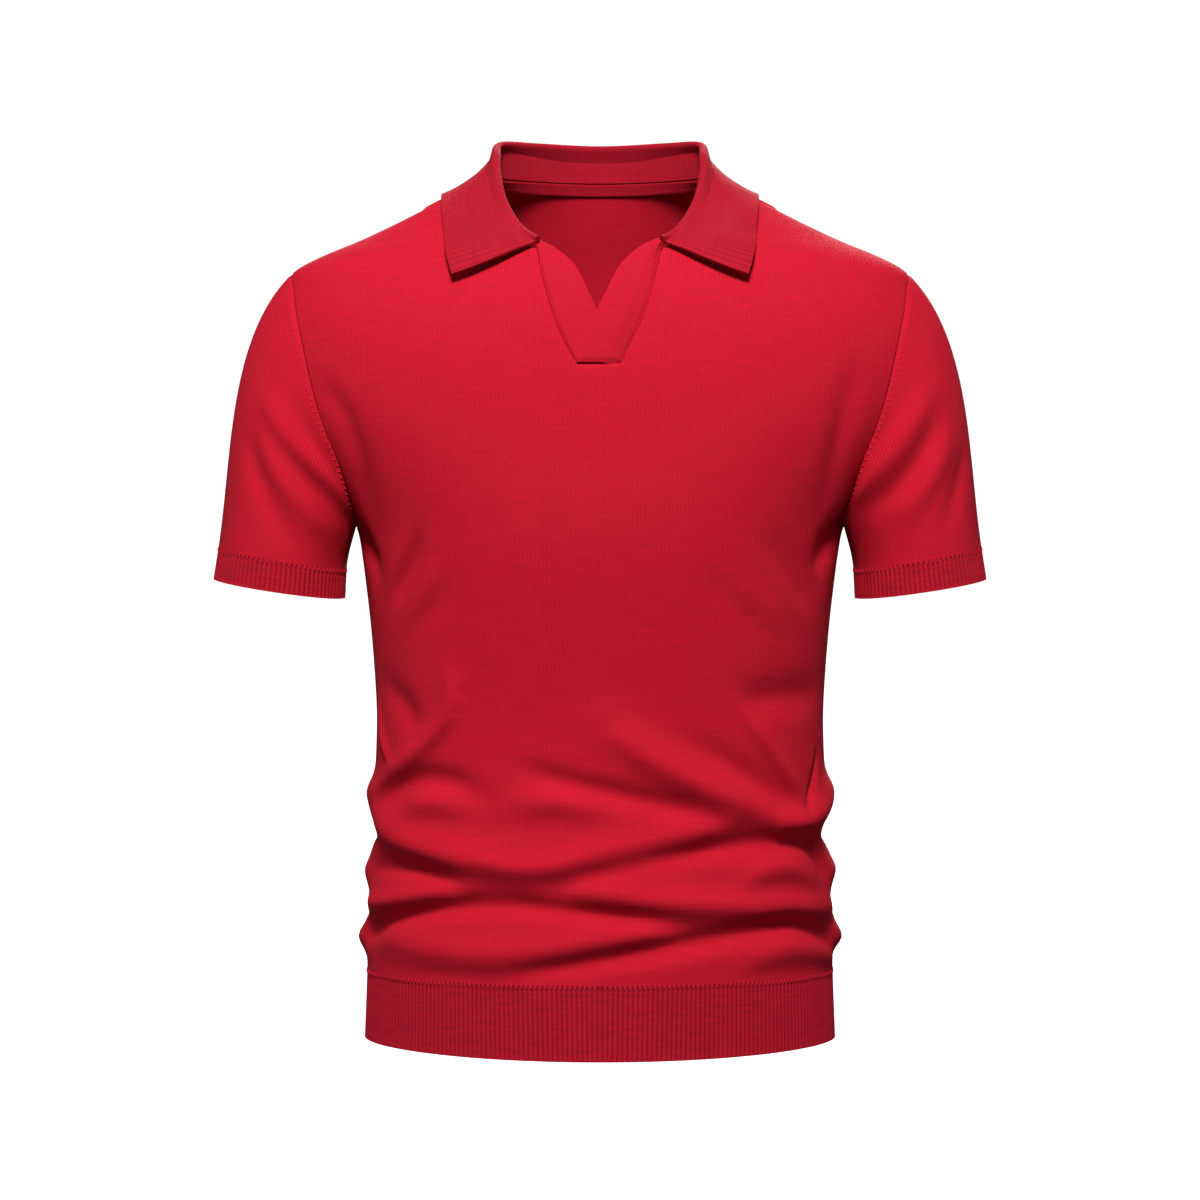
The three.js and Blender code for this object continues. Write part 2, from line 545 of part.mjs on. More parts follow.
// Columns of a panel, from its middle to its side, with one at each corner of its outline
const SIDE_TURN = 90 - 0.045;
const ARMHOLE_COLUMNS = spread(TIP_TURN, SIDE_TURN, 10).slice(1);
const HALF_COLUMNS = [
  ...spread(NECK_TURN, SIDE_NECK_TURN, 3),
  ...spread(SIDE_NECK_TURN, TIP_TURN, 4).slice(1),
  ...ARMHOLE_COLUMNS,
];
const BACK_NECK_COLUMNS = [0, 5, 10];
const UPPER_ROWS = [1, 1.09, 1.18, 1.28, 1.39, 1.51, 1.63, 1.75, 1.87, 2];
const FRONT_ROWS = [...spread(0, 0.72, 20), 0.86, ...UPPER_ROWS];
const BACK_ROWS = [...spread(0, 0.72, 14), 0.86, ...UPPER_ROWS];

// The outer and inner rows of a panel of the body. Each column is { away, side }, with side 1 or -1.
function panelRows(columns, isFront) {
  const outer = [];
  const inner = [];
  const start = SEAM_GAP / 2 / (SHELF - HEM_SEAM);
  for (const level of isFront ? FRONT_ROWS : BACK_ROWS) {
    const outerRow = [];
    const innerRow = [];
    for (const { away, side } of columns) {
      const full = isFront ? slitLevel(away, side > 0 ? "left" : "right") : 2;
      const isRim = level === 2 && away >= SIDE_NECK_TURN;
      const reach = level <= 1 ? Math.max(level, start) : 1 + (level - 1) * (full - 1);
      const { turn, z } = place(away, reach, isFront, columnTop(away, isFront));
      const point = cloth(side * turn, z);
      if (isRim && away < TIP_TURN + 1) point.y += isFront ? -SEAM_GAP / 2 : SEAM_GAP / 2;
      const out = isRim ? mirror(rimOut(away, isFront), side) : clothOut(side * turn, z);
      outerRow.push(point);
      innerRow.push(point.clone().addScaledVector(out, -BODY_WALL));
    }
    outer.push(outerRow);
    inner.push(innerRow);
  }
  return { outer, inner };
}

function makeFront() {
  const right = slitCorners("right");
  const left = slitCorners("left");
  const columns = [
    ...[...right, ...HALF_COLUMNS].reverse().map((away) => ({ away, side: -1 })),
    { away: 0, side: 1 },
    ...[...left, ...HALF_COLUMNS].map((away) => ({ away, side: 1 })),
  ];
  const { outer, inner } = panelRows(columns, true);
  return wall("front", CLOTH, outer, inner, false);
}

// The columns of the front that meet the slit's edge at its rows, from its lower corner up.
function slitCorners(side) {
  return SLIT.slice(0, -2).map((row) => slitColumn(Math.abs(row[side]), row.z));
}

// The columns of the back, or of its middle, from the wearer's left round to the right.
function backColumns(half) {
  return [
    ...[...half].reverse().map((away) => ({ away, side: 1 })),
    ...half.slice(1).map((away) => ({ away, side: -1 })),
  ];
}

function makeBack() {
  const { outer, inner } = panelRows(backColumns([...BACK_NECK_COLUMNS, ...HALF_COLUMNS]), false);
  return wall("back", CLOTH, outer, inner, false);
}

// The ring at the cuff of the left sleeve: around is 0 outside, 0.25 in front, 0.5 by the body; down is 0 at
// the cuff's seam and 1 at its edge.
const CUFF = {
  seam: { x: 234.8, z: -272, half: 47.2, tilt: 8 },
  edge: { x: 237.1, z: -294.3, half: 48.5, tilt: 7.3 },
  depth: 56,
  frontDrop: 3,
};

function cuffRing(around, down) {
  const angle = 2 * Math.PI * around;
  const mix = (key) => lerp(CUFF.seam[key], CUFF.edge[key], down);
  return new THREE.Vector3(
    mix("x") + mix("half") * Math.cos(angle),
    -CUFF.depth * Math.sin(angle),
    mix("z") + mix("tilt") * Math.cos(angle) - CUFF.frontDrop * Math.sin(angle),
  );
}

// The smooth left sleeve under its folds. down is 0 at the armhole and 1 at the cuff's seam.
const CAP_LEAN = new THREE.Vector3(0.72, 0, -0.69);
const SLEEVE_PULL = 0.95;

function sleeveTube(around, down, side) {
  const round = around - Math.floor(around);
  const isFront = round <= 0.5;
  const way = isFront ? 2 * round : 2 * (1 - round);
  const from = armholeCloth(way, isFront, side).addScaledVector(ARMHOLE_AXIS, SEAM_GAP);
  const to = cuffRing(round, 0);
  const chord = to.clone().sub(from);
  const length = chord.length();
  const leave = chord.clone().normalize().lerp(CAP_LEAN, Math.cos((Math.PI * way) / 2) ** 2);
  leave.normalize().multiplyScalar(length * SLEEVE_PULL);
  const arrive = cuffRing(round, 1).sub(to).normalize().multiplyScalar(length * SLEEVE_PULL);
  return hermitePoint(from, leave, to, arrive, down);
}

function makeSleeve(name, folds, side) {
  const tube = (around, down) => sleeveTube(around, down, side);
  const clothed = (around, down) => {
    const point = tube(around, down);
    const round = around > 0.5 ? around - 1 : around;
    const height = foldHeight(folds, round * MM_PER_SLEEVE, point.z) * smoothstep(down, 0, 0.2);
    return point.addScaledVector(outOf(tube, around, down, 0.004, 0.01), height);
  };
  const half = [0, ...ARMHOLE_COLUMNS.slice(0, -1).map(armholeWay)];
  const rounds = [...half.map((way) => way / 2), 0.5, ...half.map((way) => 1 - way / 2).reverse()];
  const outer = [];
  const inner = [];
  const end = 1 - SEAM_GAP / 2 / 200;
  for (const down of spread(0, end, 10)) {
    const outerRow = [];
    const innerRow = [];
    for (const around of rounds) {
      const round = around === 1 ? 0 : around;
      const point = clothed(round, down);
      const isFront = round <= 0.5;
      const out = down === 0
        ? armholeOut(isFront ? 2 * round : 2 * (1 - round), isFront)
        : outOf(clothed, round, down, 0.004, 0.01);
      outerRow.push(mirror(point, side));
      innerRow.push(mirror(point.clone().addScaledVector(out, -BODY_WALL), side));
    }
    outer.push(outerRow);
    inner.push(innerRow);
  }
  return wall(name, CLOTH, outer, inner, true);
}

// A ribbed band: a zigzag of ribs outside and a plain wall inside. ring(part, down) gives its outer face.
function ribbedRows(ring, out, ribs, plain, downs) {
  const outer = [];
  const inner = [];
  for (const down of downs) {
    outer.push(spread(0, 1, ribs * 2).map((part, i) =>
      ring(part, down).addScaledVector(out(part, down), i % 2 ? 0 : -RIB_RELIEF)));
    inner.push(spread(0, 1, plain).map((part) =>
      ring(part, down).addScaledVector(out(part, down), -RIB_WALL)));
  }
  return { outer, inner };
}

function makeCuff(name, side) {
  const girth = 2 * Math.PI * Math.sqrt((CUFF.depth ** 2 + CUFF.edge.half ** 2) / 2);
  const ribs = Math.round(girth / CUFF_RIB_PITCH);
  const ring = (part, down) => mirror(cuffRing(part === 1 ? 0 : part, down), side);
  const out = (part) => {
    const angle = 2 * Math.PI * (part === 1 ? 0 : part);
    const normal = new THREE.Vector3(Math.cos(angle) / CUFF.edge.half, -Math.sin(angle) / CUFF.depth, 0);
    return mirror(normal.normalize(), side);
  };
  const start = SEAM_GAP / 2 / 23;
  const { outer, inner } = ribbedRows(ring, out, ribs, 26, [start, 1]);
  return wall(name, RIB, outer, inner, true);
}

// The outer face of the hem band, deeper in the middle of the front and back than at the sides.
function hemRing(turn, down) {
  const dip = HEM_DIP * Math.cos(radians(turn)) ** 2 * down;
  return body(turn, lerp(HEM_SEAM, HEM_BOTTOM, down) - dip);
}

// Turns evenly spaced by length round the hem, from one side seam to the other.
function evenTurns(from, to) {
  const marks = spread(from, to, 180);
  const lengths = [0];
  for (let i = 1; i < marks.length; i++) {
    lengths.push(lengths[i - 1] + hemRing(marks[i], 1).distanceTo(hemRing(marks[i - 1], 1)));
  }
  const girth = lastOf(lengths);
  const turnOf = (part) => {
    const wanted = part * girth;
    let i = 1;
    while (i < lengths.length - 1 && lengths[i] < wanted) i++;
    const within = (wanted - lengths[i - 1]) / (lengths[i] - lengths[i - 1]);
    return lerp(marks[i - 1], marks[i], within);
  };
  return { girth, turnOf };
}

function makeHem(name, from, to) {
  const { girth, turnOf } = evenTurns(from, to);
  const ribs = Math.round(girth / HEM_RIB_PITCH);
  const ring = (part, down) => hemRing(turnOf(part), down);
  const out = (part, down) => {
    const turn = turnOf(part);
    const across = hemRing(turn + 0.3, down).sub(hemRing(turn - 0.3, down));
    return new THREE.Vector3(across.y, -across.x, 0).normalize();
  };
  const start = SEAM_GAP / 2 / (HEM_SEAM - HEM_BOTTOM);
  const { outer, inner } = ribbedRows(ring, out, ribs, 30, [start, 1]);
  return wall(name, RIB, outer, inner, false);
}

// The collar, from its front end (at 0) to the middle of the back: its roll, and the outer edge of its fall
const COLLAR = [
  { at: 0, rollX: 38.6, rollY: -83, rollZ: -44.4, edgeX: 103, edgeY: -78, edgeZ: -76.8, sag: 4.6 },
  { at: 0.12, rollX: 50.3, rollY: -72, rollZ: -39.6, edgeX: 109, edgeY: -70, edgeZ: -58, sag: 1.5 },
  { at: 0.26, rollX: 58.5, rollY: -56, rollZ: -30, edgeX: 112.5, edgeY: -54, edgeZ: -38, sag: 0 },
  { at: 0.38, rollX: 69.3, rollY: -33, rollZ: -10.4, edgeX: 115.5, edgeY: -30, edgeZ: -18, sag: 0 },
  { at: 0.48, rollX: 76.6, rollY: -10, rollZ: 13, edgeX: 117, edgeY: -3, edgeZ: -4, sag: 0 },
  { at: 0.55, rollX: 78, rollY: 8, rollZ: 29, edgeX: 115.5, edgeY: 20, edgeZ: -3, sag: 0 },
  { at: 0.68, rollX: 77, rollY: 36, rollZ: 40, edgeX: 103, edgeY: 56, edgeZ: -7, sag: 0 },
  { at: 0.84, rollX: 50, rollY: 64, rollZ: 43.3, edgeX: 66, edgeY: 86, edgeZ: -11, sag: 0 },
  { at: 1, rollX: 0, rollY: 80, rollZ: 43.3, edgeX: 0, edgeY: 99, edgeZ: -12, sag: 0 },
  { at: 1.16, rollX: -50, rollY: 64, rollZ: 43.3, edgeX: -66, edgeY: 86, edgeZ: -11, sag: 0 },
];
const ROLL_RADIUS = 2.2;
const STAND_GAP = 0.7;
const COLLAR_LIFT = 1.6;
const LIFT_TOP = 14;

// The middle line of the collar's cloth at one place along it, from the neck seam over the roll to the edge.
function collarLine(at) {
  const shape = sample(COLLAR, "at", at);
  const roll = new THREE.Vector3(shape.rollX, shape.rollY, shape.rollZ);
  const edge = new THREE.Vector3(shape.edgeX, shape.edgeY, shape.edgeZ);
  const { turn, z } = neckSeam(at);
  const seam = body(turn, z);
  const up = roll.clone().sub(seam).normalize();
  const ahead = sample(COLLAR, "at", at + 0.01);
  const behind = sample(COLLAR, "at", Math.max(at - 0.01, 0));
  const along = new THREE.Vector3(
    ahead.rollX - behind.rollX,
    ahead.rollY - behind.rollY,
    ahead.rollZ - behind.rollZ,
  );
  const out = along.cross(up).normalize().negate();
  const clothed = clothOut(turn, z);
  const start = seam.clone().addScaledVector(up, STAND_GAP)
    .addScaledVector(clothed, (COLLAR_WALL / 2 + 2.5 * SEAM_GAP) * Math.abs(out.dot(clothed)));
  const hub = roll.clone().addScaledVector(up, -ROLL_RADIUS).addScaledVector(out, ROLL_RADIUS);
  const line = spread(0, 1, 2).map((t) =>
    start.clone().lerp(hub.clone().addScaledVector(out, -ROLL_RADIUS), t));
  for (const angle of [50, 90, 130]) {
    line.push(hub.clone()
      .addScaledVector(out, -ROLL_RADIUS * Math.cos(radians(angle)))
      .addScaledVector(up, ROLL_RADIUS * Math.sin(radians(angle))));
  }
  const turned = hub.clone().addScaledVector(out, ROLL_RADIUS);
  for (const t of spread(0, 1, 6)) {
    const point = turned.clone().lerp(edge, t);
    point.z -= shape.sag * 4 * t * (1 - t);
    line.push(liftClear(point));
  }
  return line;
}

// How far a point is outside the smooth body, near enough, in mm.
function outside({ x, y, z }) {
  const { half, depth, square } = oval(z, y < 0);
  const reach = (Math.abs(x) / half) ** square + (Math.abs(y) / depth) ** square;
  return (reach ** (1 / square) - 1) * Math.min(half, depth);
}

// Moves a point of the fall out until it lies just over the body. By the neck, over LIFT_TOP, it stays.
function liftClear(point) {
  const wanted = (COLLAR_WALL / 2 + COLLAR_LIFT) - 14 * smoothstep(point.z, LIFT_TOP - 12, LIFT_TOP);
  for (let i = 0; i < 3; i++) {
    const here = outside(point);
    const slope = new THREE.Vector3(
      outside(point.clone().setX(point.x + 1)) - here,
      outside(point.clone().setY(point.y + 1)) - here,
      outside(point.clone().setZ(point.z + 1)) - here,
    );
    const short = wanted * slope.length() - here;
    if (short > 0) point.addScaledVector(slope, short / slope.lengthSq());
  }
  return point;
}

function makeCollar() {
  const half = [0, 0.06, 0.12, 0.19, 0.26, 0.32, 0.38, 0.43, 0.48, 0.55, 0.61, 0.68, 0.76, 0.84, 0.92, 1];
  const lines = half.map(collarLine);
  const mirroredLines = lines.slice(0, -1).reverse()
    .map((line) => line.map((point) => mirror(point, -1)));
  const middle = [...lines, ...mirroredLines];
  const outer = [];
  const inner = [];
  middle.forEach((line, c) => {
    const before = middle[Math.max(c - 1, 0)];
    const after = middle[Math.min(c + 1, middle.length - 1)];
    const outerLine = [];
    const innerLine = [];
    line.forEach((point, r) => {
      const across = after[r].clone().sub(before[r]);
      const along = line[Math.min(r + 1, line.length - 1)].clone().sub(line[Math.max(r - 1, 0)]);
      const out = across.cross(along).normalize();
      outerLine.push(point.clone().addScaledVector(out, COLLAR_WALL / 2));
      innerLine.push(point.clone().addScaledVector(out, -COLLAR_WALL / 2));
    });
    outer.push(outerLine);
    inner.push(innerLine);
  });
  return wall("collar", RIB, outer, inner, false);
}

// The two placket bands, from their lower end (up 0) to the collar: their sewn edge and their free edge
const BAND_UNDER = [
  { up: 0, sewnZ: -136, freeX: 3, freeZ: -136 },
  { up: 0.2, sewnZ: -121, freeX: 1, freeZ: -118 },
  { up: 0.4, sewnZ: -104, freeX: -1, freeZ: -102 },
  { up: 0.6, sewnZ: -86, freeX: -9, freeZ: -82 },
  { up: 0.8, sewnZ: -69, freeX: -18.5, freeZ: -63 },
  { up: 0.9, sewnZ: -62, freeX: -28.5, freeZ: -52.5 },
  { up: 1, sewnZ: -55, freeX: -38, freeZ: -47 },
];
const BAND_OVER = [
  { up: 0, sewnZ: -136, freeX: -17, freeZ: -136 },
  { up: 0.2, sewnZ: -121.5, freeX: -11, freeZ: -119 },
  { up: 0.4, sewnZ: -104, freeX: -4, freeZ: -102 },
  { up: 0.6, sewnZ: -86, freeX: 4.5, freeZ: -84 },
  { up: 0.8, sewnZ: -67, freeX: 15, freeZ: -64 },
  { up: 0.9, sewnZ: -60, freeX: 25, freeZ: -53 },
  { up: 1, sewnZ: -53, freeX: 37.5, freeZ: -46.5 },
];
const UNDER_SINK = -0.4;
const OVER_RISE = 2;
const BAND_MARGIN = 0.5;

// A placket band: its sewn edge is level with the front panel, and its free edge is lifted by rise.
function makeBand(name, table, side, rise) {
  const outer = [];
  const inner = [];
  for (const up of spread(0, 1, 12)) {
    const edge = sample(table, "up", up);
    const outerRow = [];
    const innerRow = [];
    const low = SLIT_BOTTOM + BAND_MARGIN;
    const slit = sample(SLIT, "z", edge.sewnZ);
    const sewn = { x: side > 0 ? slit.left : slit.right, z: Math.max(edge.sewnZ, low) };
    const free = { x: edge.freeX + (up === 0 ? side * BAND_MARGIN : 0), z: Math.max(edge.freeZ, low) };
    sewn.x -= side * BAND_MARGIN;
    for (const across of spread(0, 1, 5)) {
      const x = lerp(sewn.x, free.x, across);
      const z = lerp(sewn.z, free.z, across);
      const turn = turnAt(x, z, true);
      const out = clothOut(turn, z);
      const point = cloth(turn, z).addScaledVector(out, rise * smoothstep(across, 0, 0.4));
      outerRow.push(point);
      innerRow.push(point.clone().addScaledVector(out, -BODY_WALL));
    }
    outer.push(outerRow);
    inner.push(innerRow);
  }
  return wall(name, CLOTH, outer, inner, false);
}

// The tape inside the back neck, just under the seam of the stand: the panel's own points, moved in.
function makeTape() {
  const columns = backColumns([...BACK_NECK_COLUMNS, ...HALF_COLUMNS.slice(0, 3)]);
  const panel = panelRows(columns, false).inner;
  const [top, next] = [lastOf(panel), panel[panel.length - 2]];
  const outer = [];
  const inner = [];
  for (const drop of [TAPE_HEIGHT, TAPE_DROP]) {
    const outerRow = [];
    const innerRow = [];
    columns.forEach((_, c) => {
      const down = next[c].clone().sub(top[c]).normalize();
      const beside = top[Math.min(c + 1, top.length - 1)].clone().sub(top[Math.max(c - 1, 0)]);
      const out = down.clone().cross(beside).normalize();
      const face = top[c].clone().addScaledVector(down, drop).addScaledVector(out, -TAPE_GAP);
      outerRow.push(face);
      innerRow.push(face.clone().addScaledVector(out, -TAPE_WALL));
    });
    outer.push(outerRow);
    inner.push(innerRow);
  }
  return wall("neck_tape", TAPE, outer, inner, false);
}

const shirt = new THREE.Group();
shirt.add(
  makeFront(),
  makeBack(),
  makeSleeve("sleeve_left", SLEEVE_FOLDS_LEFT, 1),
  makeSleeve("sleeve_right", SLEEVE_FOLDS_RIGHT, -1),
  makeCuff("cuff_left", 1),
  makeCuff("cuff_right", -1),
  makeHem("hem_front", -SIDE_TURN, SIDE_TURN),
  makeHem("hem_back", 180 - SIDE_TURN, 180 + SIDE_TURN),
  makeCollar(),
  makeBand("placket_under", BAND_UNDER, -1, UNDER_SINK),
  makeBand("placket_over", BAND_OVER, 1, OVER_RISE),
  makeTape(),
);

export default shirt;
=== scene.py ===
# %% [markdown]
# # A knitted polo shirt, filled out with no wearer
#
# The shirt is fine red knitwear: panels knitted to shape, and ribbed bands at the hem, the cuffs and the
# collar. Each piece is rebuilt here as a thin shell on the form of its solid, with the same sections. The
# front's lower folds are a little deeper than the solid's, and the points are close enough together for soft
# creases, ribs and stitches.
# Lengths in the functions are in millimetres. They become metres when a mesh is made.

import json

import bpy
import numpy as np
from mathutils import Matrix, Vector

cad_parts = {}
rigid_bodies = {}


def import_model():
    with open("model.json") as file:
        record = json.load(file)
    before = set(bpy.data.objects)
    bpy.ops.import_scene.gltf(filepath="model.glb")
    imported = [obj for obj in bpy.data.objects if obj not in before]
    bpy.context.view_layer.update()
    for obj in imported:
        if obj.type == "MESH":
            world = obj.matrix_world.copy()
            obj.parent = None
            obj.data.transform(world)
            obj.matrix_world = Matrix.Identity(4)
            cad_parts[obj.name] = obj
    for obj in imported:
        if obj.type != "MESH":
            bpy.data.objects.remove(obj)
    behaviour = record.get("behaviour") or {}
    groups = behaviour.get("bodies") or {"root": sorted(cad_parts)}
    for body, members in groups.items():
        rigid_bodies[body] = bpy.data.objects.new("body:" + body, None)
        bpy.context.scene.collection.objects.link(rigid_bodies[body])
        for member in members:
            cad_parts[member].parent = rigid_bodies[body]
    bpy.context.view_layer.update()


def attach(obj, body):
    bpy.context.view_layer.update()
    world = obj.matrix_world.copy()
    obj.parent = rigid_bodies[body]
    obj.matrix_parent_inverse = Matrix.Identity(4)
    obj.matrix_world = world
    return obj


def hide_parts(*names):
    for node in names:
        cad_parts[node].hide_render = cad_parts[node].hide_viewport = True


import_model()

# %% [markdown]
# ## Tables
#
# A garment's form changes smoothly from one measured section to the next, so a few rows with named columns
# are enough, and one function reads every table on a smooth curve through its rows. A mesh could also be
# sculpted by hand, but then a sleeve and its cuff would have to be matched by eye.

# %% Read a table on a smooth curve
def table(names, rows):
    """A table with named columns, each one an array."""
    return dict(zip(names.split(), np.array(rows, float).T))


def sample(source, key, values):
    """Each column of a table at values of its key column, on a smooth curve through its rows."""
    keys = source[key]
    at = np.clip(values, keys[0], keys[-1])
    i = np.clip(np.searchsorted(keys, at) - 1, 0, len(keys) - 2)
    span = keys[i + 1] - keys[i]
    t = (at - keys[i]) / span
    s = 1 - t
    before = np.maximum(np.arange(len(keys)) - 1, 0)
    after = np.minimum(np.arange(len(keys)) + 1, len(keys) - 1)
    found = {}
    for name, column in source.items():
        slope = (column[after] - column[before]) / (keys[after] - keys[before])
        found[name] = (
            column[i] * (1 + 2 * t) * s * s + slope[i] * span * t * s * s
            + column[i + 1] * t * t * (3 - 2 * t) - slope[i + 1] * span * t * t * s
        )
    return found


def mix(a, b, t):
    return a + (b - a) * t


def ease(value, low, high):
    """From 0 at low to 1 at high, with a soft start and end."""
    t = np.clip((value - low) / (high - low), 0, 1)
    return t * t * (3 - 2 * t)


def unit(vectors):
    return vectors / np.linalg.norm(vectors, axis=-1, keepdims=True)


# %% The sizes of the shirt
WALL = 1.6
RIB_WALL = 1.9
COLLAR_WALL = 2
TAPE_WALL = 0.9
SEAM_GAP = 0.3
HEM_SEAM = -575
HEM_BOTTOM = -625
HEM_DIP = 3
SHELF = -330
TIP_HEIGHT = -61
ARMPIT_HEIGHT = -248
ARMHOLE_DEPTH = 30
NECK_TURN = 15
SIDE_NECK_TURN = 29
TIP_TURN = 50
ARMHOLE_SPREAD = 0.9
NECK_LEVEL = 8
CHEST_TOP = -64

TORSO = table("z half front back square square_back", [
    (-628, 174, 115, 105, 2, 2),
    (-575, 172, 112, 102, 2.05, 2.05),
    (-525, 171, 110, 99, 2.1, 2.1),
    (-470, 167.5, 106, 95, 2.15, 2.1),
    (-418, 165.5, 104, 92, 2.2, 2.15),
    (-383, 165, 105, 92, 2.2, 2.15),
    (-330, 168.5, 110, 96, 2.2, 2.15),
    (-285, 173.5, 115, 100, 2.2, 2.15),
    (-262, 177, 117, 103, 2.2, 2.15),
    (-248, 181, 117.5, 104.5, 2.2, 2.15),
    (-230, 190, 117.5, 106, 2.2, 2.15),
    (-200, 210, 116, 108.5, 2.2, 2.15),
    (-175, 227, 114, 110, 2.18, 2.12),
    (-150, 238, 111.5, 111, 2.14, 2.1),
    (-121, 242.5, 107, 110, 2.08, 2.06),
    (-95, 241, 101, 107.5, 1.98, 2),
    (-75, 234.5, 93.5, 104, 1.88, 1.95),
    (-61, 227, 86, 100.5, 1.8, 1.92),
    (-50, 208, 78.5, 97.5, 1.72, 1.9),
    (-37, 177, 67, 93.5, 1.66, 1.9),
    (-23, 148, 51, 89, 1.65, 1.9),
    (-6, 115, 28, 84, 1.66, 1.95),
    (3, 95, 16, 81.5, 1.7, 2),
    (8, 85, 10, 80, 1.75, 2),
    (15, 81, 8, 78, 1.8, 2),
])
NECKLINE = table("at x z", [
    (0, 46, -50),
    (0.12, 56.5, -44),
    (0.26, 67, -36),
    (0.38, 75.5, -23),
    (0.48, 81, -6),
    (0.55, 85, 8),
    (0.68, 77, 12),
    (0.84, 49, 14.5),
    (1, 0, 15),
    (1.16, -49, 14.5),
])
SIDE_NECK_AT = 0.55
SLIT = table("z right left", [
    (-136, -17, 15.5),
    (-126, -22.5, 19.5),
    (-109, -30.5, 28),
    (-88, -37, 35.2),
    (-69, -42, 40),
    (-48, -45.5, 44.8),
])
SLIT_BOTTOM = -136
print("sections of the body:", len(TORSO["z"]))

# %% [markdown]
# ## The body's surface
#
# A shirt on a body is a stack of ovals that share their side points, flatter than an ellipse in front. The
# place round an oval is its turn: 0 degrees at the middle of the front, 90 at the wearer's left side and
# 180 at the middle of the back. Above the armpits the armhole cuts the ovals, and above the tips of the
# shoulders their ends are the shoulder seams.

# %% Ovals
def oval(z, is_front):
    row = sample(TORSO, "z", z)
    depth = np.where(is_front, row["front"], row["back"])
    square = np.where(is_front, row["square"], row["square_back"])
    return row["half"], depth, square


def body(turn, z):
    """Points of the smooth body under the folds."""
    turn, z = np.broadcast_arrays(np.asarray(turn, float), np.asarray(z, float))
    sine = np.sin(np.radians(turn))
    cosine = np.cos(np.radians(turn))
    half, depth, square = oval(z, cosine >= 0)
    x = np.sign(sine) * half * np.abs(sine) ** (2 / square)
    y = -np.sign(cosine) * depth * np.abs(cosine) ** (2 / square)
    return np.stack([x, y, z], -1)


def turn_at(x, z, is_front):
    """The turn of the point that lies x to the side at height z."""
    half, _, square = oval(z, is_front)
    ratio = np.minimum(np.abs(x) / half, 1) ** (square / 2)
    turn = np.sign(x) * np.degrees(np.arcsin(ratio))
    return np.where(is_front, turn, np.where(x < 0, -180 - turn, 180 - turn))


def out_of(surface, a, b, step_a, step_b):
    """The direction out of a surface at (a, b), from points a step to each side."""
    across = surface(a + step_a, b) - surface(a - step_a, b)
    along = surface(a, b + step_b) - surface(a, b - step_b)
    return unit(np.cross(across, along))


# %% [markdown]
# ## Folds
#
# Cloth that is a little too long for the body it hangs on settles in soft ridges and troughs above the hem
# and inside the elbow. A simulation would give other folds than these, so each one is listed: a
# path through three places, a width on each side of it and a height, which fades at the path's ends.

# %% Folds on the body and the sleeves
MM_PER_TURN = 2.45
MM_PER_SLEEVE = 330
FOLD_STEPS = 8
HEM_FADE = 12
FOLD = "x0 z0 x1 z1 x2 z2 above below height"

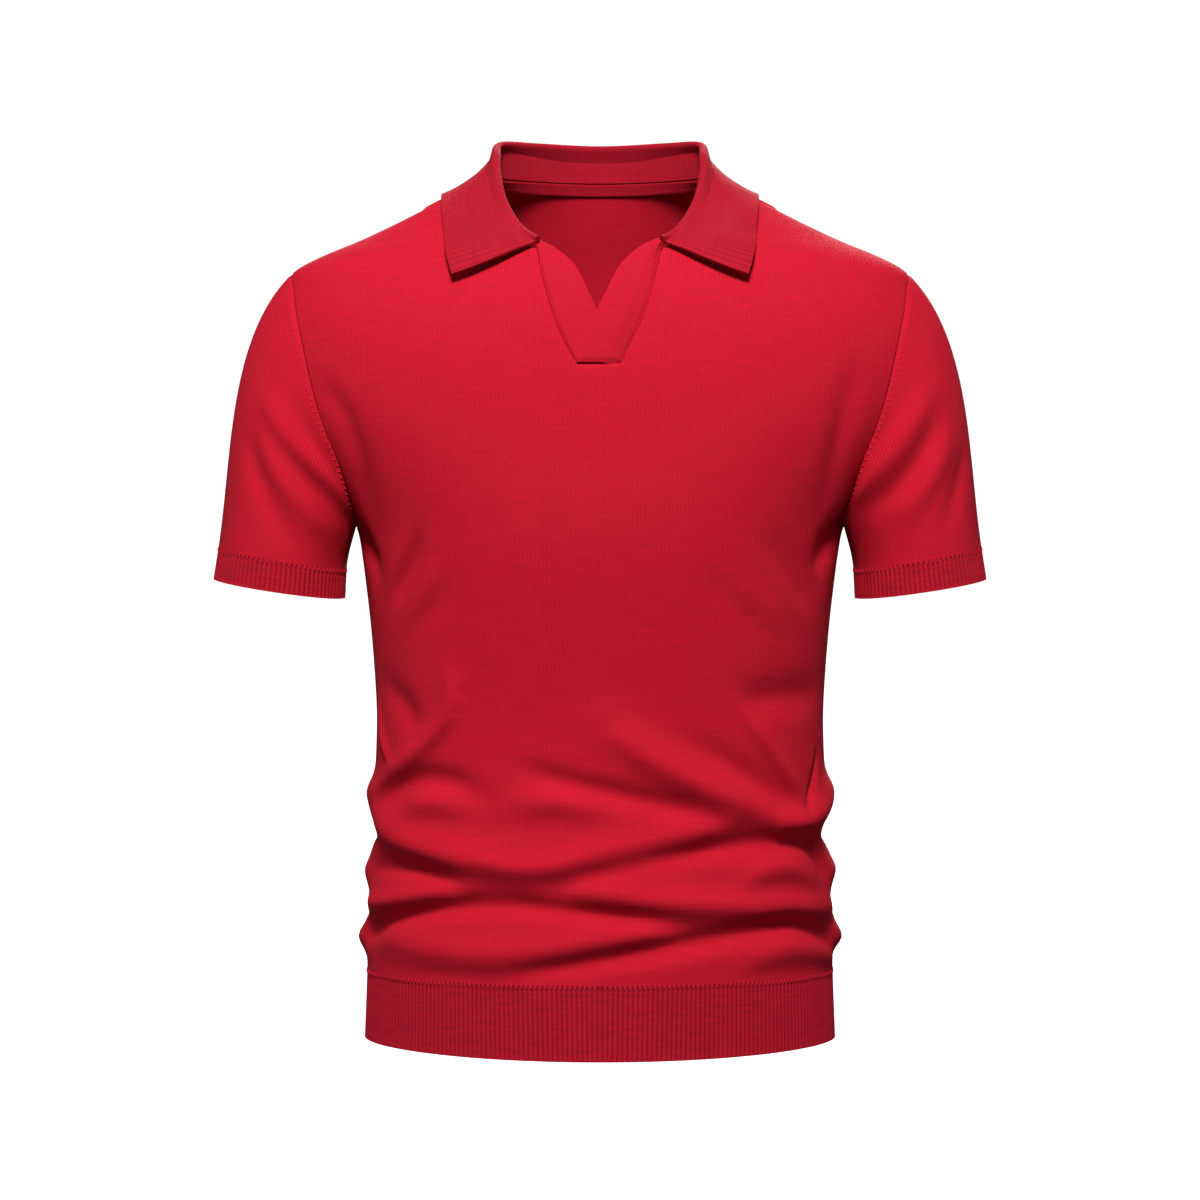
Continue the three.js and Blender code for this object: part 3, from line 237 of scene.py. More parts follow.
FRONT_FOLDS = table(FOLD, [
    # ridges round the waist
    (-215, -452, -46, -491, 70, -461, 15, 11, 8),
    (4, -391, 48, -430, 131, -464, 14, 11, 7.5),
    (112, -464, 155, -462, 228, -442, 12, 10, 7),
    (-77, -509, -140, -520, -205, -525, 8, 8, 5.5),
    (-18, -506, 60, -519, 215, -528, 10, 9, 6),
    (-160, -547, -44, -553, 45, -532, 12, 12, 5.5),
    (90, -562, 130, -554, 205, -566, 10, 10, 4),
    # their troughs
    (-190, -501, -134, -495, -82, -506, 9, 7, -6),
    (-22, -504, 43, -483, 135, -476, 9, 8, -7.5),
    (118, -476, 160, -483, 190, -514, 8, 7, -6),
    (-210, -556, -119, -526, -30, -520, 9, 8, -7.5),
    (-50, -519, 0, -525, 52, -534, 7, 7, -5.5),
    (-45, -568, 34, -549, 125, -535, 8, 8, -7),
    (108, -535, 150, -540, 215, -563, 8, 8, -6),
    # hollows and domes over them
    (-180, -452, -118, -432, -72, -442, 9, 10, -5.5),
    (-40, -423, 5, -440, 70, -458, 8, 8, -5.5),
    (-62, -480, -38, -484, -14, -477, 8, 7, -2.5),
    (50, -403, 97, -432, 135, -455, 10, 9, -4.5),
    (85, -377, 123, -373, 175, -373, 14, 12, -4),
    (-170, -364, -140, -380, -128, -398, 12, 12, -3.5),
    (-135, -452, -108, -447, -80, -452, 10, 10, 4),
    (-50, -452, -24, -446, 2, -452, 10, 10, 4),
    (84, -506, 121, -495, 162, -510, 9, 9, 4.5),
    # thin creases at the sides
    (-96, -354, -108, -400, -190, -442, 9, 7, 4.5),
    (86, -378, 112, -411, 147, -447, 7, 6, 4),
    (178, -414, 164, -437, 148, -455, 4, 4, -3.5),
    (-190, -376, -178, -404, -156, -423, 4, 4, 2.5),
    # bulges and notches that show in the outline, right and left
    (-180, -444, -222, -443, -270, -446, 11, 11, 3),
    (-185, -474, -222, -471, -275, -470, 9, 9, -5),
    (-200, -504, -225, -502, -270, -502, 10, 10, 4),
    (-195, -527, -222, -526, -270, -525, 8, 8, -3),
    (-190, -553, -225, -552, -275, -552, 11, 10, 7),
    (185, -442, 222, -441, 270, -446, 11, 11, 3),
    (185, -476, 222, -473, 275, -470, 9, 9, -5),
    (190, -503, 225, -501, 270, -502, 10, 10, 4.5),
    (195, -526, 222, -525, 270, -525, 8, 8, -3),
    (190, -553, 225, -551, 275, -552, 11, 10, 7),
    # drag from the armpits
    (-205, -250, -182, -262, -165, -290, 14, 12, -6),
    (205, -245, 172, -258, 158, -285, 15, 13, -6.5),
    (-116, -257, -131, -275, -152, -299, 5, 5, 2),
    (-108, -258, -124, -280, -143, -302, 8, 8, -4.5),
    (-96, -280, -108, -297, -128, -316, 6, 6, 1.8),
    (-87, -291, -99, -306, -119, -322, 8, 8, -2),
    (100, -257, 119, -277, 146, -297, 5, 5, 2.5),
    (98, -258, 122, -280, 146, -304, 9, 9, -5),
    (75, -287, 92, -303, 120, -318, 6, 6, 2),
    (58, -284, 74, -303, 99, -322, 8, 8, -2),
    (-138, -150, -128, -185, -160, -245, 9, 9, -3.5),
    (118, -140, 121, -182, 145, -235, 9, 9, -3.5),
])
BACK_FOLDS = table(FOLD, [
    (-225, -447, -60, -480, 60, -462, 14, 11, 5),
    (20, -395, 80, -428, 190, -450, 13, 11, 5),
    (-200, -515, -110, -508, -30, -512, 9, 8, 4),
    (-10, -503, 90, -510, 210, -520, 10, 9, 4.5),
    (-150, -542, -20, -548, 80, -534, 12, 11, 4),
    (-190, -490, -120, -488, -60, -497, 9, 8, -4),
    (-30, -495, 60, -480, 170, -474, 9, 8, -5),
    (-200, -545, -100, -522, 10, -520, 9, 8, -5),
    (-10, -560, 80, -545, 190, -535, 8, 8, -4.5),
    (-120, -430, -40, -420, 40, -436, 10, 10, -3.5),
    # the shoulder blades and the hollow between them
    (60, -110, 95, -165, 115, -240, 24, 24, 3),
    (-60, -110, -95, -165, -115, -240, 24, 24, 3),
    (0, -90, 0, -190, 0, -330, 26, 26, -4),
])
SLEEVE_FOLDS_LEFT = table(FOLD, [
    (55, -148, 98, -203, 130, -228, 8, 8, 4.5),
    (75, -150, 110, -192, 140, -220, 7, 7, -3),
    (60, -175, 84, -210, 115, -238, 7, 7, -3),
    (48, -180, 69, -214, 98, -246, 8, 8, 3),
    (30, -195, 46, -222, 62, -252, 8, 8, -2.5),
    (-56, -155, -92, -200, -130, -230, 8, 8, 4),
    (-62, -178, -92, -218, -128, -246, 8, 8, -3),
    (-44, -190, -66, -224, -92, -256, 8, 8, 2.5),
])
SLEEVE_FOLDS_RIGHT = table(FOLD, [
    (55, -155, 84, -193, 131, -234, 7, 7, 4.5),
    (77, -160, 107, -203, 134, -228, 7, 6, -3.5),
    (66, -172, 102, -218, 146, -250, 8, 8, -3.5),
    (58, -185, 84, -222, 120, -256, 8, 8, 2.5),
    (46, -185, 69, -225, 96, -266, 9, 9, -3),
    (-54, -150, -88, -198, -132, -232, 8, 8, 4),
    (-60, -176, -94, -216, -134, -248, 8, 8, -3),
    (-46, -188, -68, -226, -96, -260, 8, 8, 2.5),
])
print("folds:", len(FRONT_FOLDS["x0"]) + len(BACK_FOLDS["x0"]), "on the body")


def fold_lift(fold, across, along):
    """How far one fold lifts the cloth at places across and along it."""
    reach = 3 * max(fold["above"], fold["below"])
    xs = [fold["x0"], fold["x1"], fold["x2"]]
    zs = [fold["z0"], fold["z1"], fold["z2"]]
    near = (across > min(xs) - reach) & (across < max(xs) + reach)
    near &= (along > min(zs) - reach) & (along < max(zs) + reach)
    lift = np.zeros(across.shape)
    x, z = across[near], along[near]
    s = np.linspace(0, 1, FOLD_STEPS + 1)
    weights = [(1 - s) * (1 - 2 * s), 4 * s * (1 - s), s * (2 * s - 1)]
    path_x = sum(weight * place for weight, place in zip(weights, xs))
    path_z = sum(weight * place for weight, place in zip(weights, zs))
    nearest = np.full(x.shape, np.inf)
    found = np.zeros(x.shape)
    for i in range(FOLD_STEPS):
        step_x = path_x[i + 1] - path_x[i]
        step_z = path_z[i + 1] - path_z[i]
        t = ((x - path_x[i]) * step_x + (z - path_z[i]) * step_z) / (step_x ** 2 + step_z ** 2)
        t = np.clip(t, 0, 1)
        off_x = x - path_x[i] - t * step_x
        off_z = z - path_z[i] - t * step_z
        distance = np.hypot(off_x, off_z) / np.where(off_z > 0, fold["above"], fold["below"])
        part = (i + t) / FOLD_STEPS
        here = np.exp(-distance ** 2) * (4 * part * (1 - part) + 0.15) ** 0.7
        found = np.where(distance < nearest, here, found)
        nearest = np.minimum(nearest, distance)
    lift[near] = fold["height"] * found
    return lift


def fold_height(folds, across, along):
    height = np.zeros(across.shape)
    for k in range(len(folds["height"])):
        height += fold_lift({name: column[k] for name, column in folds.items()}, across, along)
    return height


def cloth(turn, z):
    """Points of the body's cloth with its folds, which die out at the hem's seam."""
    turn, z = np.broadcast_arrays(np.asarray(turn, float), np.asarray(z, float))
    around = np.where(turn > 180, turn - 360, turn)
    from_back = np.where(around < 0, -180, 180) - around
    height = fold_height(FRONT_FOLDS, around * MM_PER_TURN, z)
    height += fold_height(BACK_FOLDS, from_back * MM_PER_TURN, z)
    height *= ease(z, HEM_SEAM, HEM_SEAM + HEM_FADE)
    return body(turn, z) + height[..., None] * out_of(body, turn, z, 0.8, 2)


def cloth_out(turn, z):
    return out_of(cloth, turn, z, 1, 3)


# %% [markdown]
# ## The panels' outlines
#
# A knitted panel has columns of stitches that run up from the hem to the shoulder, the neck or the
# armhole. The grid of each panel does the same: a column is named by how far its foot is from the panel's
# middle, from 0 to 90, and a level runs up it from 0 at the hem to 2 at its upper end.

# %% Where columns start and end
def armhole(way, is_front):
    """The wearer's left armhole seam as a turn and a height: way is 0 at the shoulder and 1 at the armpit."""
    back = ARMHOLE_DEPTH * np.sin(np.pi * way)
    z = mix(TIP_HEIGHT, ARMPIT_HEIGHT, (1 - np.cos(np.pi * way)) / 2)
    return np.where(is_front, 90 - back, 90 + back), z


def armhole_way(away):
    return (np.clip(away - TIP_TURN, 0, None) / (90 - TIP_TURN)) ** ARMHOLE_SPREAD


def neck_seam(at):
    row = sample(NECKLINE, "at", at)
    return turn_at(row["x"], row["z"], np.asarray(at) < SIDE_NECK_AT), row["z"]


def column_top(away, is_front):
    """The turn and the height where columns end on the wearer's left."""
    turn, z = armhole(armhole_way(away), is_front)
    out = np.clip((away - SIDE_NECK_TURN) / (TIP_TURN - SIDE_NECK_TURN), 0, 1)
    on_shoulder = (away > SIDE_NECK_TURN) & (away <= TIP_TURN)
    turn = np.where(on_shoulder, 90, turn)
    z = np.where(on_shoulder, mix(NECK_LEVEL, TIP_HEIGHT, out ** 1.1), z)
    if is_front:
        at = SIDE_NECK_AT * (away - NECK_TURN) / (SIDE_NECK_TURN - NECK_TURN)
    else:
        at = mix(1, SIDE_NECK_AT, away / SIDE_NECK_TURN)
    neck_turn, neck_z = neck_seam(np.clip(at, 0, 1))
    by_neck = away <= SIDE_NECK_TURN
    turn = np.where(by_neck, neck_turn, turn)
    z = np.where(by_neck, neck_z, z)
    if is_front:
        out = np.clip(away / NECK_TURN, 0, 1)
        chest_z = mix(CHEST_TOP, NECKLINE["z"][0], out * out)
        chest_turn = turn_at(out * NECKLINE["x"][0], chest_z, True)
        turn = np.where(away < NECK_TURN, chest_turn, turn)
        z = np.where(away < NECK_TURN, chest_z, z)
    return turn, z


# %% Distances round the body
ARC_STEPS = 60


def arcs_at(z, is_front):
    """How far each step from a panel's middle to its side lies round the body, for each height."""
    away = np.linspace(0, 90, ARC_STEPS + 1)
    ring = body(away if is_front else 180 - away, z[..., None])
    steps = np.linalg.norm(np.diff(ring, axis=-2), axis=-1)
    return np.concatenate([np.zeros(z.shape + (1,)), np.cumsum(steps, -1)], -1)


def pick(arcs, i):
    return np.take_along_axis(arcs, i[..., None], -1)[..., 0]


def arc_of(away, z, is_front):
    arcs = arcs_at(z, is_front)
    step = away / 90 * ARC_STEPS
    i = np.minimum(step.astype(int), ARC_STEPS - 1)
    return mix(pick(arcs, i), pick(arcs, i + 1), step - i)


def away_of(arc, z, is_front):
    arcs = arcs_at(z, is_front)
    i = np.minimum((arcs[..., 1:] < arc[..., None]).sum(-1), ARC_STEPS - 1)
    low, high = pick(arcs, i), pick(arcs, i + 1)
    return 90 * (i + np.minimum((arc - low) / (high - low), 1)) / ARC_STEPS


def side_slack(z, is_front):
    """How much longer the way round to the side is below the armpit than an even blend makes it."""
    z = np.clip(z, SHELF, ARMPIT_HEIGHT)
    t = (z - SHELF) / (ARMPIT_HEIGHT - SHELF)
    low, high = arcs_at(np.array([SHELF, ARMPIT_HEIGHT]), is_front)[:, -1]
    return arcs_at(z, is_front)[..., -1] - mix(low, high, t * t)


def place(away, level, is_front):
    """Places of a panel on the wearer's left: how far from its middle, their height and their arc."""
    away, level = np.broadcast_arrays(np.asarray(away, float), np.asarray(level, float))
    t = np.clip(level - 1, 0, 1)
    end_turn, end_z = column_top(away, is_front)
    end_away = end_turn if is_front else 180 - end_turn
    by_armhole = np.clip((away - TIP_TURN) / (90 - TIP_TURN), 0, 1)
    rise = mix(t * (2 - t), t, np.minimum(1, 2 * by_armhole))
    z = np.where(level <= 1, mix(HEM_SEAM, SHELF, level), mix(SHELF, end_z, rise))
    lean = mix(t * t * (3 - 2 * t), t * t, ease(away, NECK_TURN, TIP_TURN))
    foot = arc_of(away, np.full(away.shape, float(SHELF)), is_front)
    arc = mix(foot, arc_of(end_away, end_z, is_front), lean) + by_armhole ** 3 * side_slack(z, is_front)
    here = np.where(level <= 1, away, away_of(arc, z, is_front))
    return here, z, np.where(level <= 1, arc_of(away, z, is_front), arc)


def slit_level(away, side):
    """How far up columns of the front reach before the slit cuts them."""
    edge = "left" if side > 0 else "right"

    def is_inside(level):
        turn, z, _ = place(away, level, True)
        return (z > SLIT_BOTTOM) & (body(turn, z)[..., 0] < np.abs(sample(SLIT, "z", z)[edge]))

    below = np.full(away.shape, 1.3)
    above = np.full(away.shape, 2.0)
    is_cut = is_inside(above)
    for _ in range(24):
        middle = (below + above) / 2
        inside = is_inside(middle)
        above = np.where(inside, middle, above)
        below = np.where(inside, below, middle)
    return np.where(is_cut, below, 2)


# %% [markdown]
# ## From grids to shells
#
# Every piece is a grid of points on its outer face. Its inner face is the same grid moved in by the
# cloth's thickness, and the rims close the shell. A Solidify modifier could do that, but the piece's own
# grid also gives each corner its place in the knit, as UV coordinates in metres.

# %% Make a shell
def grid_out(points, is_tube=False):
    """The direction out at each point of a grid whose columns run round and rows run up."""
    if is_tube:
        across = np.roll(points, -1, 1) - np.roll(points, 1, 1)
    else:
        across = np.gradient(points, axis=1)
    return unit(np.cross(across, np.gradient(points, axis=0)))


def shell(name, outer, inner, uv, is_tube=False, sharp=1.1):
    """A closed thin shell between two grids of points."""
    rows, columns = outer.shape[:2]
    index = np.arange(rows * columns).reshape(rows, columns)
    if is_tube:
        index = np.concatenate([index, index[:, :1]], 1)
    within = index + rows * columns
    faces, places = [], []

    def quads(grid, coords):
        for parts, values in ((faces, grid), (places, coords)):
            corners = [values[:-1, :-1], values[:-1, 1:], values[1:, 1:], values[1:, :-1]]
            parts.append(np.stack(corners, 2).reshape((-1, 4) + values.shape[2:]))

    quads(index, uv)
    quads(within[::-1], uv[::-1])
    quads(np.stack([within[0], index[0]]), np.stack([uv[0], uv[0]]))
    quads(np.stack([index[-1], within[-1]]), np.stack([uv[-1], uv[-1]]))
    if not is_tube:
        quads(np.stack([index[:, -1], within[:, -1]], 1), np.stack([uv[:, -1], uv[:, -1]], 1))
        quads(np.stack([within[:, 0], index[:, 0]], 1), np.stack([uv[:, 0], uv[:, 0]], 1))
    points = np.concatenate([outer.reshape(-1, 3), inner.reshape(-1, 3)]) / 1000
    mesh = bpy.data.meshes.new(name)
    mesh.from_pydata(points.tolist(), [], np.concatenate(faces).tolist())
    layer = mesh.uv_layers.new(name="knit")
    layer.data.foreach_set("uv", (np.concatenate(places) / 1000).astype(np.float32).ravel())
    mesh.shade_smooth()
    mesh.set_sharp_from_angle(angle=sharp)
    piece = bpy.data.objects.new(name, mesh)
    bpy.context.collection.objects.link(piece)
    print(name, len(mesh.polygons) * 2, "triangles")
    return piece


# %% [markdown]
# ## Materials
#
# One red yarn makes the whole shirt, so every material is the same recipe with other sizes and colours:
# columns of stitches, called wales, and in each column the small V of every stitch. They are worked out from
# the piece's UV coordinates, and a bump makes them catch the light. The colour is also darker between the
# wales, where the stitches sink, as painted shade in those grooves, over random streaks and grain in the
# yarn.
# The stitches' thread is lighter than the cloth, a painted highlight for the light that catches their loops.
# A picture of knit would be simpler, but it would repeat and blur. The yarn is matt cotton, so it has hardly
# any gloss, and a faint sheen where its fibres stand off it.

# %% Nodes and colours
def linear(hex_colour):
    """An sRGB colour such as C8142F as linear red, green, blue and alpha."""
    parts = [int(hex_colour[i:i + 2], 16) / 255 for i in (0, 2, 4)]
    return [((p + 0.055) / 1.055) ** 2.4 if p > 0.04045 else p / 12.92 for p in parts] + [1]


def add(tree, kind, inputs=(), **settings):
    """Adds a node, sets it, and feeds its inputs from values or from other nodes' outputs."""
    made = tree.nodes.new(kind)
    for name, value in settings.items():
        setattr(made, name, value)
    for key, value in dict(inputs).items():
        if isinstance(value, bpy.types.NodeSocket):
            tree.links.new(value, made.inputs[key])
        else:
            made.inputs[key].default_value = value
    return made


def math(tree, operation, a, b=0.0):
    return add(tree, "ShaderNodeMath", {0: a, 1: b}, operation=operation).outputs[0]


STREAKS_PER_METRE = (45, 420, 1)
YARN_GRAIN = 700


def knit_material(name, light, dark, wale, course, depth, streak=1.1):
    """Knitted cloth. wale and course are a stitch's width and height in metres."""
    material = bpy.data.materials.new(name)
    material.use_nodes = True
    tree = material.node_tree
    shader = tree.nodes["Principled BSDF"]
    uv = add(tree, "ShaderNodeUVMap", uv_map="knit").outputs[0]
    split = add(tree, "ShaderNodeSeparateXYZ", {0: uv})
    column = math(tree, "DIVIDE", split.outputs[0], wale)
    row = math(tree, "DIVIDE", split.outputs[1], course)
    off = math(tree, "ABSOLUTE", math(tree, "SUBTRACT", math(tree, "FRACT", column), 0.5))
    leg = math(tree, "FRACT", math(tree, "ADD", row, off))
    stitch = math(tree, "ABSOLUTE", math(tree, "SUBTRACT", leg, 0.5))
    rise = math(tree, "SUBTRACT", 1.0, math(tree, "MULTIPLY", math(tree, "MULTIPLY", off, off), 4.0))
    height = math(tree, "ADD", math(tree, "MULTIPLY", rise, 0.75), math(tree, "MULTIPLY", stitch, 0.5))
    lines = add(tree, "ShaderNodeMapping", {"Vector": uv, "Scale": STREAKS_PER_METRE})
    fuzz = add(tree, "ShaderNodeTexNoise", {"Vector": lines.outputs[0], "Scale": 1, "Detail": 3})
    object_place = add(tree, "ShaderNodeTexCoord").outputs["Object"]
    yarn = add(tree, "ShaderNodeTexNoise", {"Vector": object_place, "Scale": YARN_GRAIN, "Detail": 2})
    uneven = math(tree, "MULTIPLY", math(tree, "SUBTRACT", fuzz.outputs[0], 0.5), streak)
    grain = math(tree, "MULTIPLY", math(tree, "SUBTRACT", yarn.outputs[0], 0.5), 0.35)
    # Darker where the stitch relief is low, between the wales: painted shade in those grooves. The streaks
    # and grain are random changes in the yarn's colour.
    painted_shade_and_tone = math(tree, "ADD", height, math(tree, "ADD", uneven, grain))
    colour = add(tree, "ShaderNodeMix", {0: painted_shade_and_tone, 6: linear(dark), 7: linear(light)}, data_type="RGBA")
    relief = math(tree, "ADD", height, math(tree, "MULTIPLY", yarn.outputs[0], 0.4))
    bump = add(tree, "ShaderNodeBump", {"Height": relief, "Strength": 0.7, "Distance": depth})
    tree.links.new(colour.outputs[2], shader.inputs["Base Color"])
    tree.links.new(bump.outputs[0], shader.inputs["Normal"])
    shader.inputs["Roughness"].default_value = 0.88
    shader.inputs["Specular IOR Level"].default_value = 0.2
    shader.inputs["Sheen Weight"].default_value = 0.03
    shader.inputs["Sheen Roughness"].default_value = 0.6
    shader.inputs["Sheen Tint"].default_value = linear("F07080")
    return material


KNIT = knit_material("knit", "D00F2C", "B40B23", 0.0019, 0.0015, 0.0004)
# The rib's wale is one rib wide, so its much darker second colour falls in the furrows between the ribs:
# painted shade there.
RIB = knit_material("rib", "C60E2B", "8C091D", 0.0035, 0.0015, 0.0004)
COLLAR_RIB = knit_material("collar_rib", "B80E29", "940A1F", 0.0023, 0.0016, 0.0004)
TAPE = knit_material("tape", "C00E2A", "960A20", 0.0012, 0.0012, 0.0003)
# The stitches' thread is the same yarn, made lighter than the cloth as a painted highlight, so the loops read
# as catching the light.
HIGHLIGHT_THREAD = knit_material("thread", "E01C38", "C81430", 0.0008, 0.0008, 0.0001)


# %% Hand each piece over
def hand_over(piece, material, nodes=()):
    """Gives a piece its material, attaches it to the root body and hides the solids it was cut from."""
    piece.data.materials.clear()
    piece.data.materials.append(material)
    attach(piece, "root")
    if nodes:
        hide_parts(*nodes)


def area_of(points, is_tube=False):
    """The area of a grid's outer face, in square metres."""
    if is_tube:
        points = np.concatenate([points, points[:, :1]], 1)
    one = points[1:, 1:] - points[:-1, :-1]
    two = points[1:, :-1] - points[:-1, 1:]
    return np.linalg.norm(np.cross(one, two), axis=-1).sum() / 2e6


# %% [markdown]
# ## Front and back
#
# The panels hang from the shoulders and are drawn in a little at each seam, where the linking pulls the
# edge stitches in. So the rows are closer together near the edge, and the last of them dip.

# %% The panels
EDGE_LEVELS = [1.978, 1.986, 1.992, 1.996, 2]
FRONT_LEVELS = np.concatenate([np.linspace(0, 1, 76), np.linspace(1, 1.97, 62)[1:], EDGE_LEVELS])
BACK_LEVELS = np.concatenate([np.linspace(0, 1, 64), np.linspace(1, 1.97, 50)[1:], EDGE_LEVELS])
SIDE_TURN = 90 - 0.012
HEM_SIDE_TURN = 90 - 0.003
EDGE_DIP = 0.9
SIDE_DIP = 0.6
DIP_REACH = 2.2
SIDE_DIP_TOP = 1.9


def seam_dip(distance, depth=EDGE_DIP):
    """How far the linking draws the cloth in at a distance from its seam."""
    return depth * np.exp(-(distance / DIP_REACH) ** 2)


def short_of_armpit(way):
    """1 down the armhole seam, falling to 0 at the armpit, where the cloth isn't drawn in."""
    return 1 - ease(way, 0.75, 0.9)


def half_columns(neck, shoulder, side):
    """Columns from a panel's middle to its side: how many end at the neck, the shoulder and the armhole."""
    return np.concatenate([
        np.linspace(0, SIDE_NECK_TURN, neck),
        np.linspace(SIDE_NECK_TURN, TIP_TURN, shoulder)[1:],
        np.linspace(TIP_TURN, SIDE_TURN, side)[1:],
    ])


def panel(half, levels, is_front, dip=EDGE_DIP):
    """The outer face of the front or back, with its UV coordinates, all in mm."""
    columns = np.concatenate([-half[:0:-1], half])
    side = np.where(columns < 0, -1, 1)
    away = np.abs(columns)
    full = np.full(columns.shape, 2.0)
    if is_front:
        full = np.where(side > 0, slit_level(away, 1), slit_level(away, -1))
    start = SEAM_GAP / 2 / (SHELF - HEM_SEAM)
    levels = levels[:, None]
    reach = np.where(levels <= 1, np.maximum(levels, start), 1 + (levels - 1) * (full - 1))
    here, z, arc = place(np.broadcast_to(away, reach.shape), reach, is_front)
    turn = here if is_front else 180 - here
    points = cloth(side * turn, z)
    on_seam = (levels == 2) & (away >= SIDE_NECK_TURN) & (away < TIP_TURN + 1)
    points[..., 1] += np.where(on_seam, -SEAM_GAP / 2 if is_front else SEAM_GAP / 2, 0)
    uv = np.stack([side * arc, z], -1)
    if not is_front:
        points, uv = points[:, ::-1], uv[:, ::-1]
    upper = np.linalg.norm(points - points[-1:], axis=-1)
    sides = np.minimum(np.linalg.norm(points - points[:, :1], axis=-1),
                       np.linalg.norm(points - points[:, -1:], axis=-1))
    drawn = seam_dip(upper, dip) * short_of_armpit(armhole_way(away))
    drawn += seam_dip(sides, SIDE_DIP) * (levels < SIDE_DIP_TOP) * (dip > 0)
    return points - drawn[..., None] * grid_out(points), uv


front_points, front_uv = panel(half_columns(44, 22, 40), FRONT_LEVELS, True)
front = shell("front_cloth", front_points, front_points - WALL * grid_out(front_points), front_uv)
back_points, back_uv = panel(half_columns(34, 18, 34), BACK_LEVELS, False)
back = shell("back_cloth", back_points, back_points - WALL * grid_out(back_points), back_uv)
print("front", round(area_of(front_points), 4), "back", round(area_of(back_points), 4), "m2")
hand_over(front, KNIT, ["front"])
hand_over(back, KNIT, ["back"])

# %% [markdown]
# ## Sleeves
#
# A sleeve is a tube from the armhole to the ring at the cuff. Its lines leave the shoulder along its slope
# and arrive straight down at the cuff, as a short sleeve hangs from a body with its arms down.

# %% The sleeves
CUFF = table("at x z half tilt", [
    (0, 234.8, -272, 47.2, 8),
    (1, 237.1, -294.3, 48.5, 7.3),
])
CUFF_DEPTH = 56
CUFF_FRONT_DROP = 3
CAP_LEAN = np.array([0.72, 0, -0.69])
SLEEVE_PULL = 0.95


def cuff_ring(around, down):
    """The ring at the left cuff: around is 0 outside and 0.25 in front, down 0 at its seam, 1 at its edge."""
    angle = 2 * np.pi * np.asarray(around, float)
    x, z, half, tilt = (mix(CUFF[key][0], CUFF[key][1], down) for key in ("x", "z", "half", "tilt"))
    return np.stack(np.broadcast_arrays(
        x + half * np.cos(angle),
        -CUFF_DEPTH * np.sin(angle),
        z + tilt * np.cos(angle) - CUFF_FRONT_DROP * np.sin(angle),
    ), -1)


TIP_POINT, ARMPIT_POINT = body(90, TIP_HEIGHT), body(90, ARMPIT_HEIGHT)
ARMHOLE_AXIS = unit(np.cross([0, 1, 0], TIP_POINT - ARMPIT_POINT))


def sleeve_tube(around, down, side):
    """The smooth left sleeve, or the right one mirrored, from the armhole (down 0) to the cuff's seam."""
    around = np.asarray(around, float) % 1
    is_front = around <= 0.5
    way = np.where(is_front, 2 * around, 2 * (1 - around))
    turn, z = armhole(way, is_front)
    start = cloth(side * turn, z) * [side, 1, 1] + ARMHOLE_AXIS * SEAM_GAP / 3
    end = cuff_ring(around, 0)
    chord = end - start
    length = np.linalg.norm(chord, axis=-1, keepdims=True)
    share = (np.cos(np.pi * way / 2) ** 2)[..., None]
    leave = unit(mix(chord / length, CAP_LEAN, share)) * length * SLEEVE_PULL
    arrive = unit(cuff_ring(around, 1) - end) * length * SLEEVE_PULL
    t = np.asarray(down, float)[..., None]
    s = 1 - t
    return (
        start * (1 + 2 * t) * s * s + leave * t * s * s
        + end * t * t * (3 - 2 * t) - arrive * t * t * s
    )


def sleeve_cloth(around, down, side, folds):
    around, down = np.broadcast_arrays(np.asarray(around, float), np.asarray(down, float))

    def tube(a, b):
        return sleeve_tube(a, b, side)

    points = tube(around, down)
    from_outside = np.where(around > 0.5, around - 1, around) * MM_PER_SLEEVE
    height = fold_height(folds, from_outside, points[..., 2]) * ease(down, 0, 0.2)
    return points + height[..., None] * out_of(tube, around, down, 0.004, 0.01)


ARMHOLE_EDGE = [0, 0.005, 0.011, 0.019, 0.03]
SLEEVE_LENGTH = 200
SLEEVE_UV_LENGTH = 220
SLEEVE_END = 1 - SEAM_GAP / (2 * SLEEVE_LENGTH)
SLEEVE_DOWNS = np.concatenate([ARMHOLE_EDGE, np.linspace(0.045, SLEEVE_END, 84)])


def make_sleeve(name, node, side, folds):
    around = np.linspace(0, 1, 150, endpoint=False)
    points = sleeve_cloth(around, SLEEVE_DOWNS[:, None], side, folds)[::-1]
    edge = np.linalg.norm(points - points[-1:], axis=-1)
    out = -grid_out(points, is_tube=True)
    drawn = seam_dip(edge) * short_of_armpit(1 - np.abs(1 - 2 * around))
    points = points - drawn[..., None] * out
    inner = points - WALL * out
    round_uv = np.concatenate([around, [1]]) * MM_PER_SLEEVE
    down_uv = SLEEVE_DOWNS[::-1, None] * -SLEEVE_UV_LENGTH
    uv = np.stack(np.broadcast_arrays(round_uv, down_uv), -1)
    points, inner = points * [side, 1, 1], inner * [side, 1, 1]
    if side > 0:
        points, inner = points[:, ::-1], inner[:, ::-1]
    piece = shell(name, points, inner, uv, is_tube=True)
    print(name, round(area_of(points, True), 4), "m2")
    hand_over(piece, KNIT, [node])


make_sleeve("sleeve_left_cloth", "sleeve_left", 1, SLEEVE_FOLDS_LEFT)
make_sleeve("sleeve_right_cloth", "sleeve_right", -1, SLEEVE_FOLDS_RIGHT)

# %% [markdown]
# ## Ribbed bands
#
# The hem and cuffs are rib knit, whose columns stand up as round ribs with furrows between them. The ribs
# follow a rule, so a Geometry Nodes tree raises them: the band starts as a plain shell that carries, on
# each outer point, how far round it is and which way is out, and the tree moves the points between two
# ribs in. Moving the points by hand in a loop would do the same, but not with a count to turn.

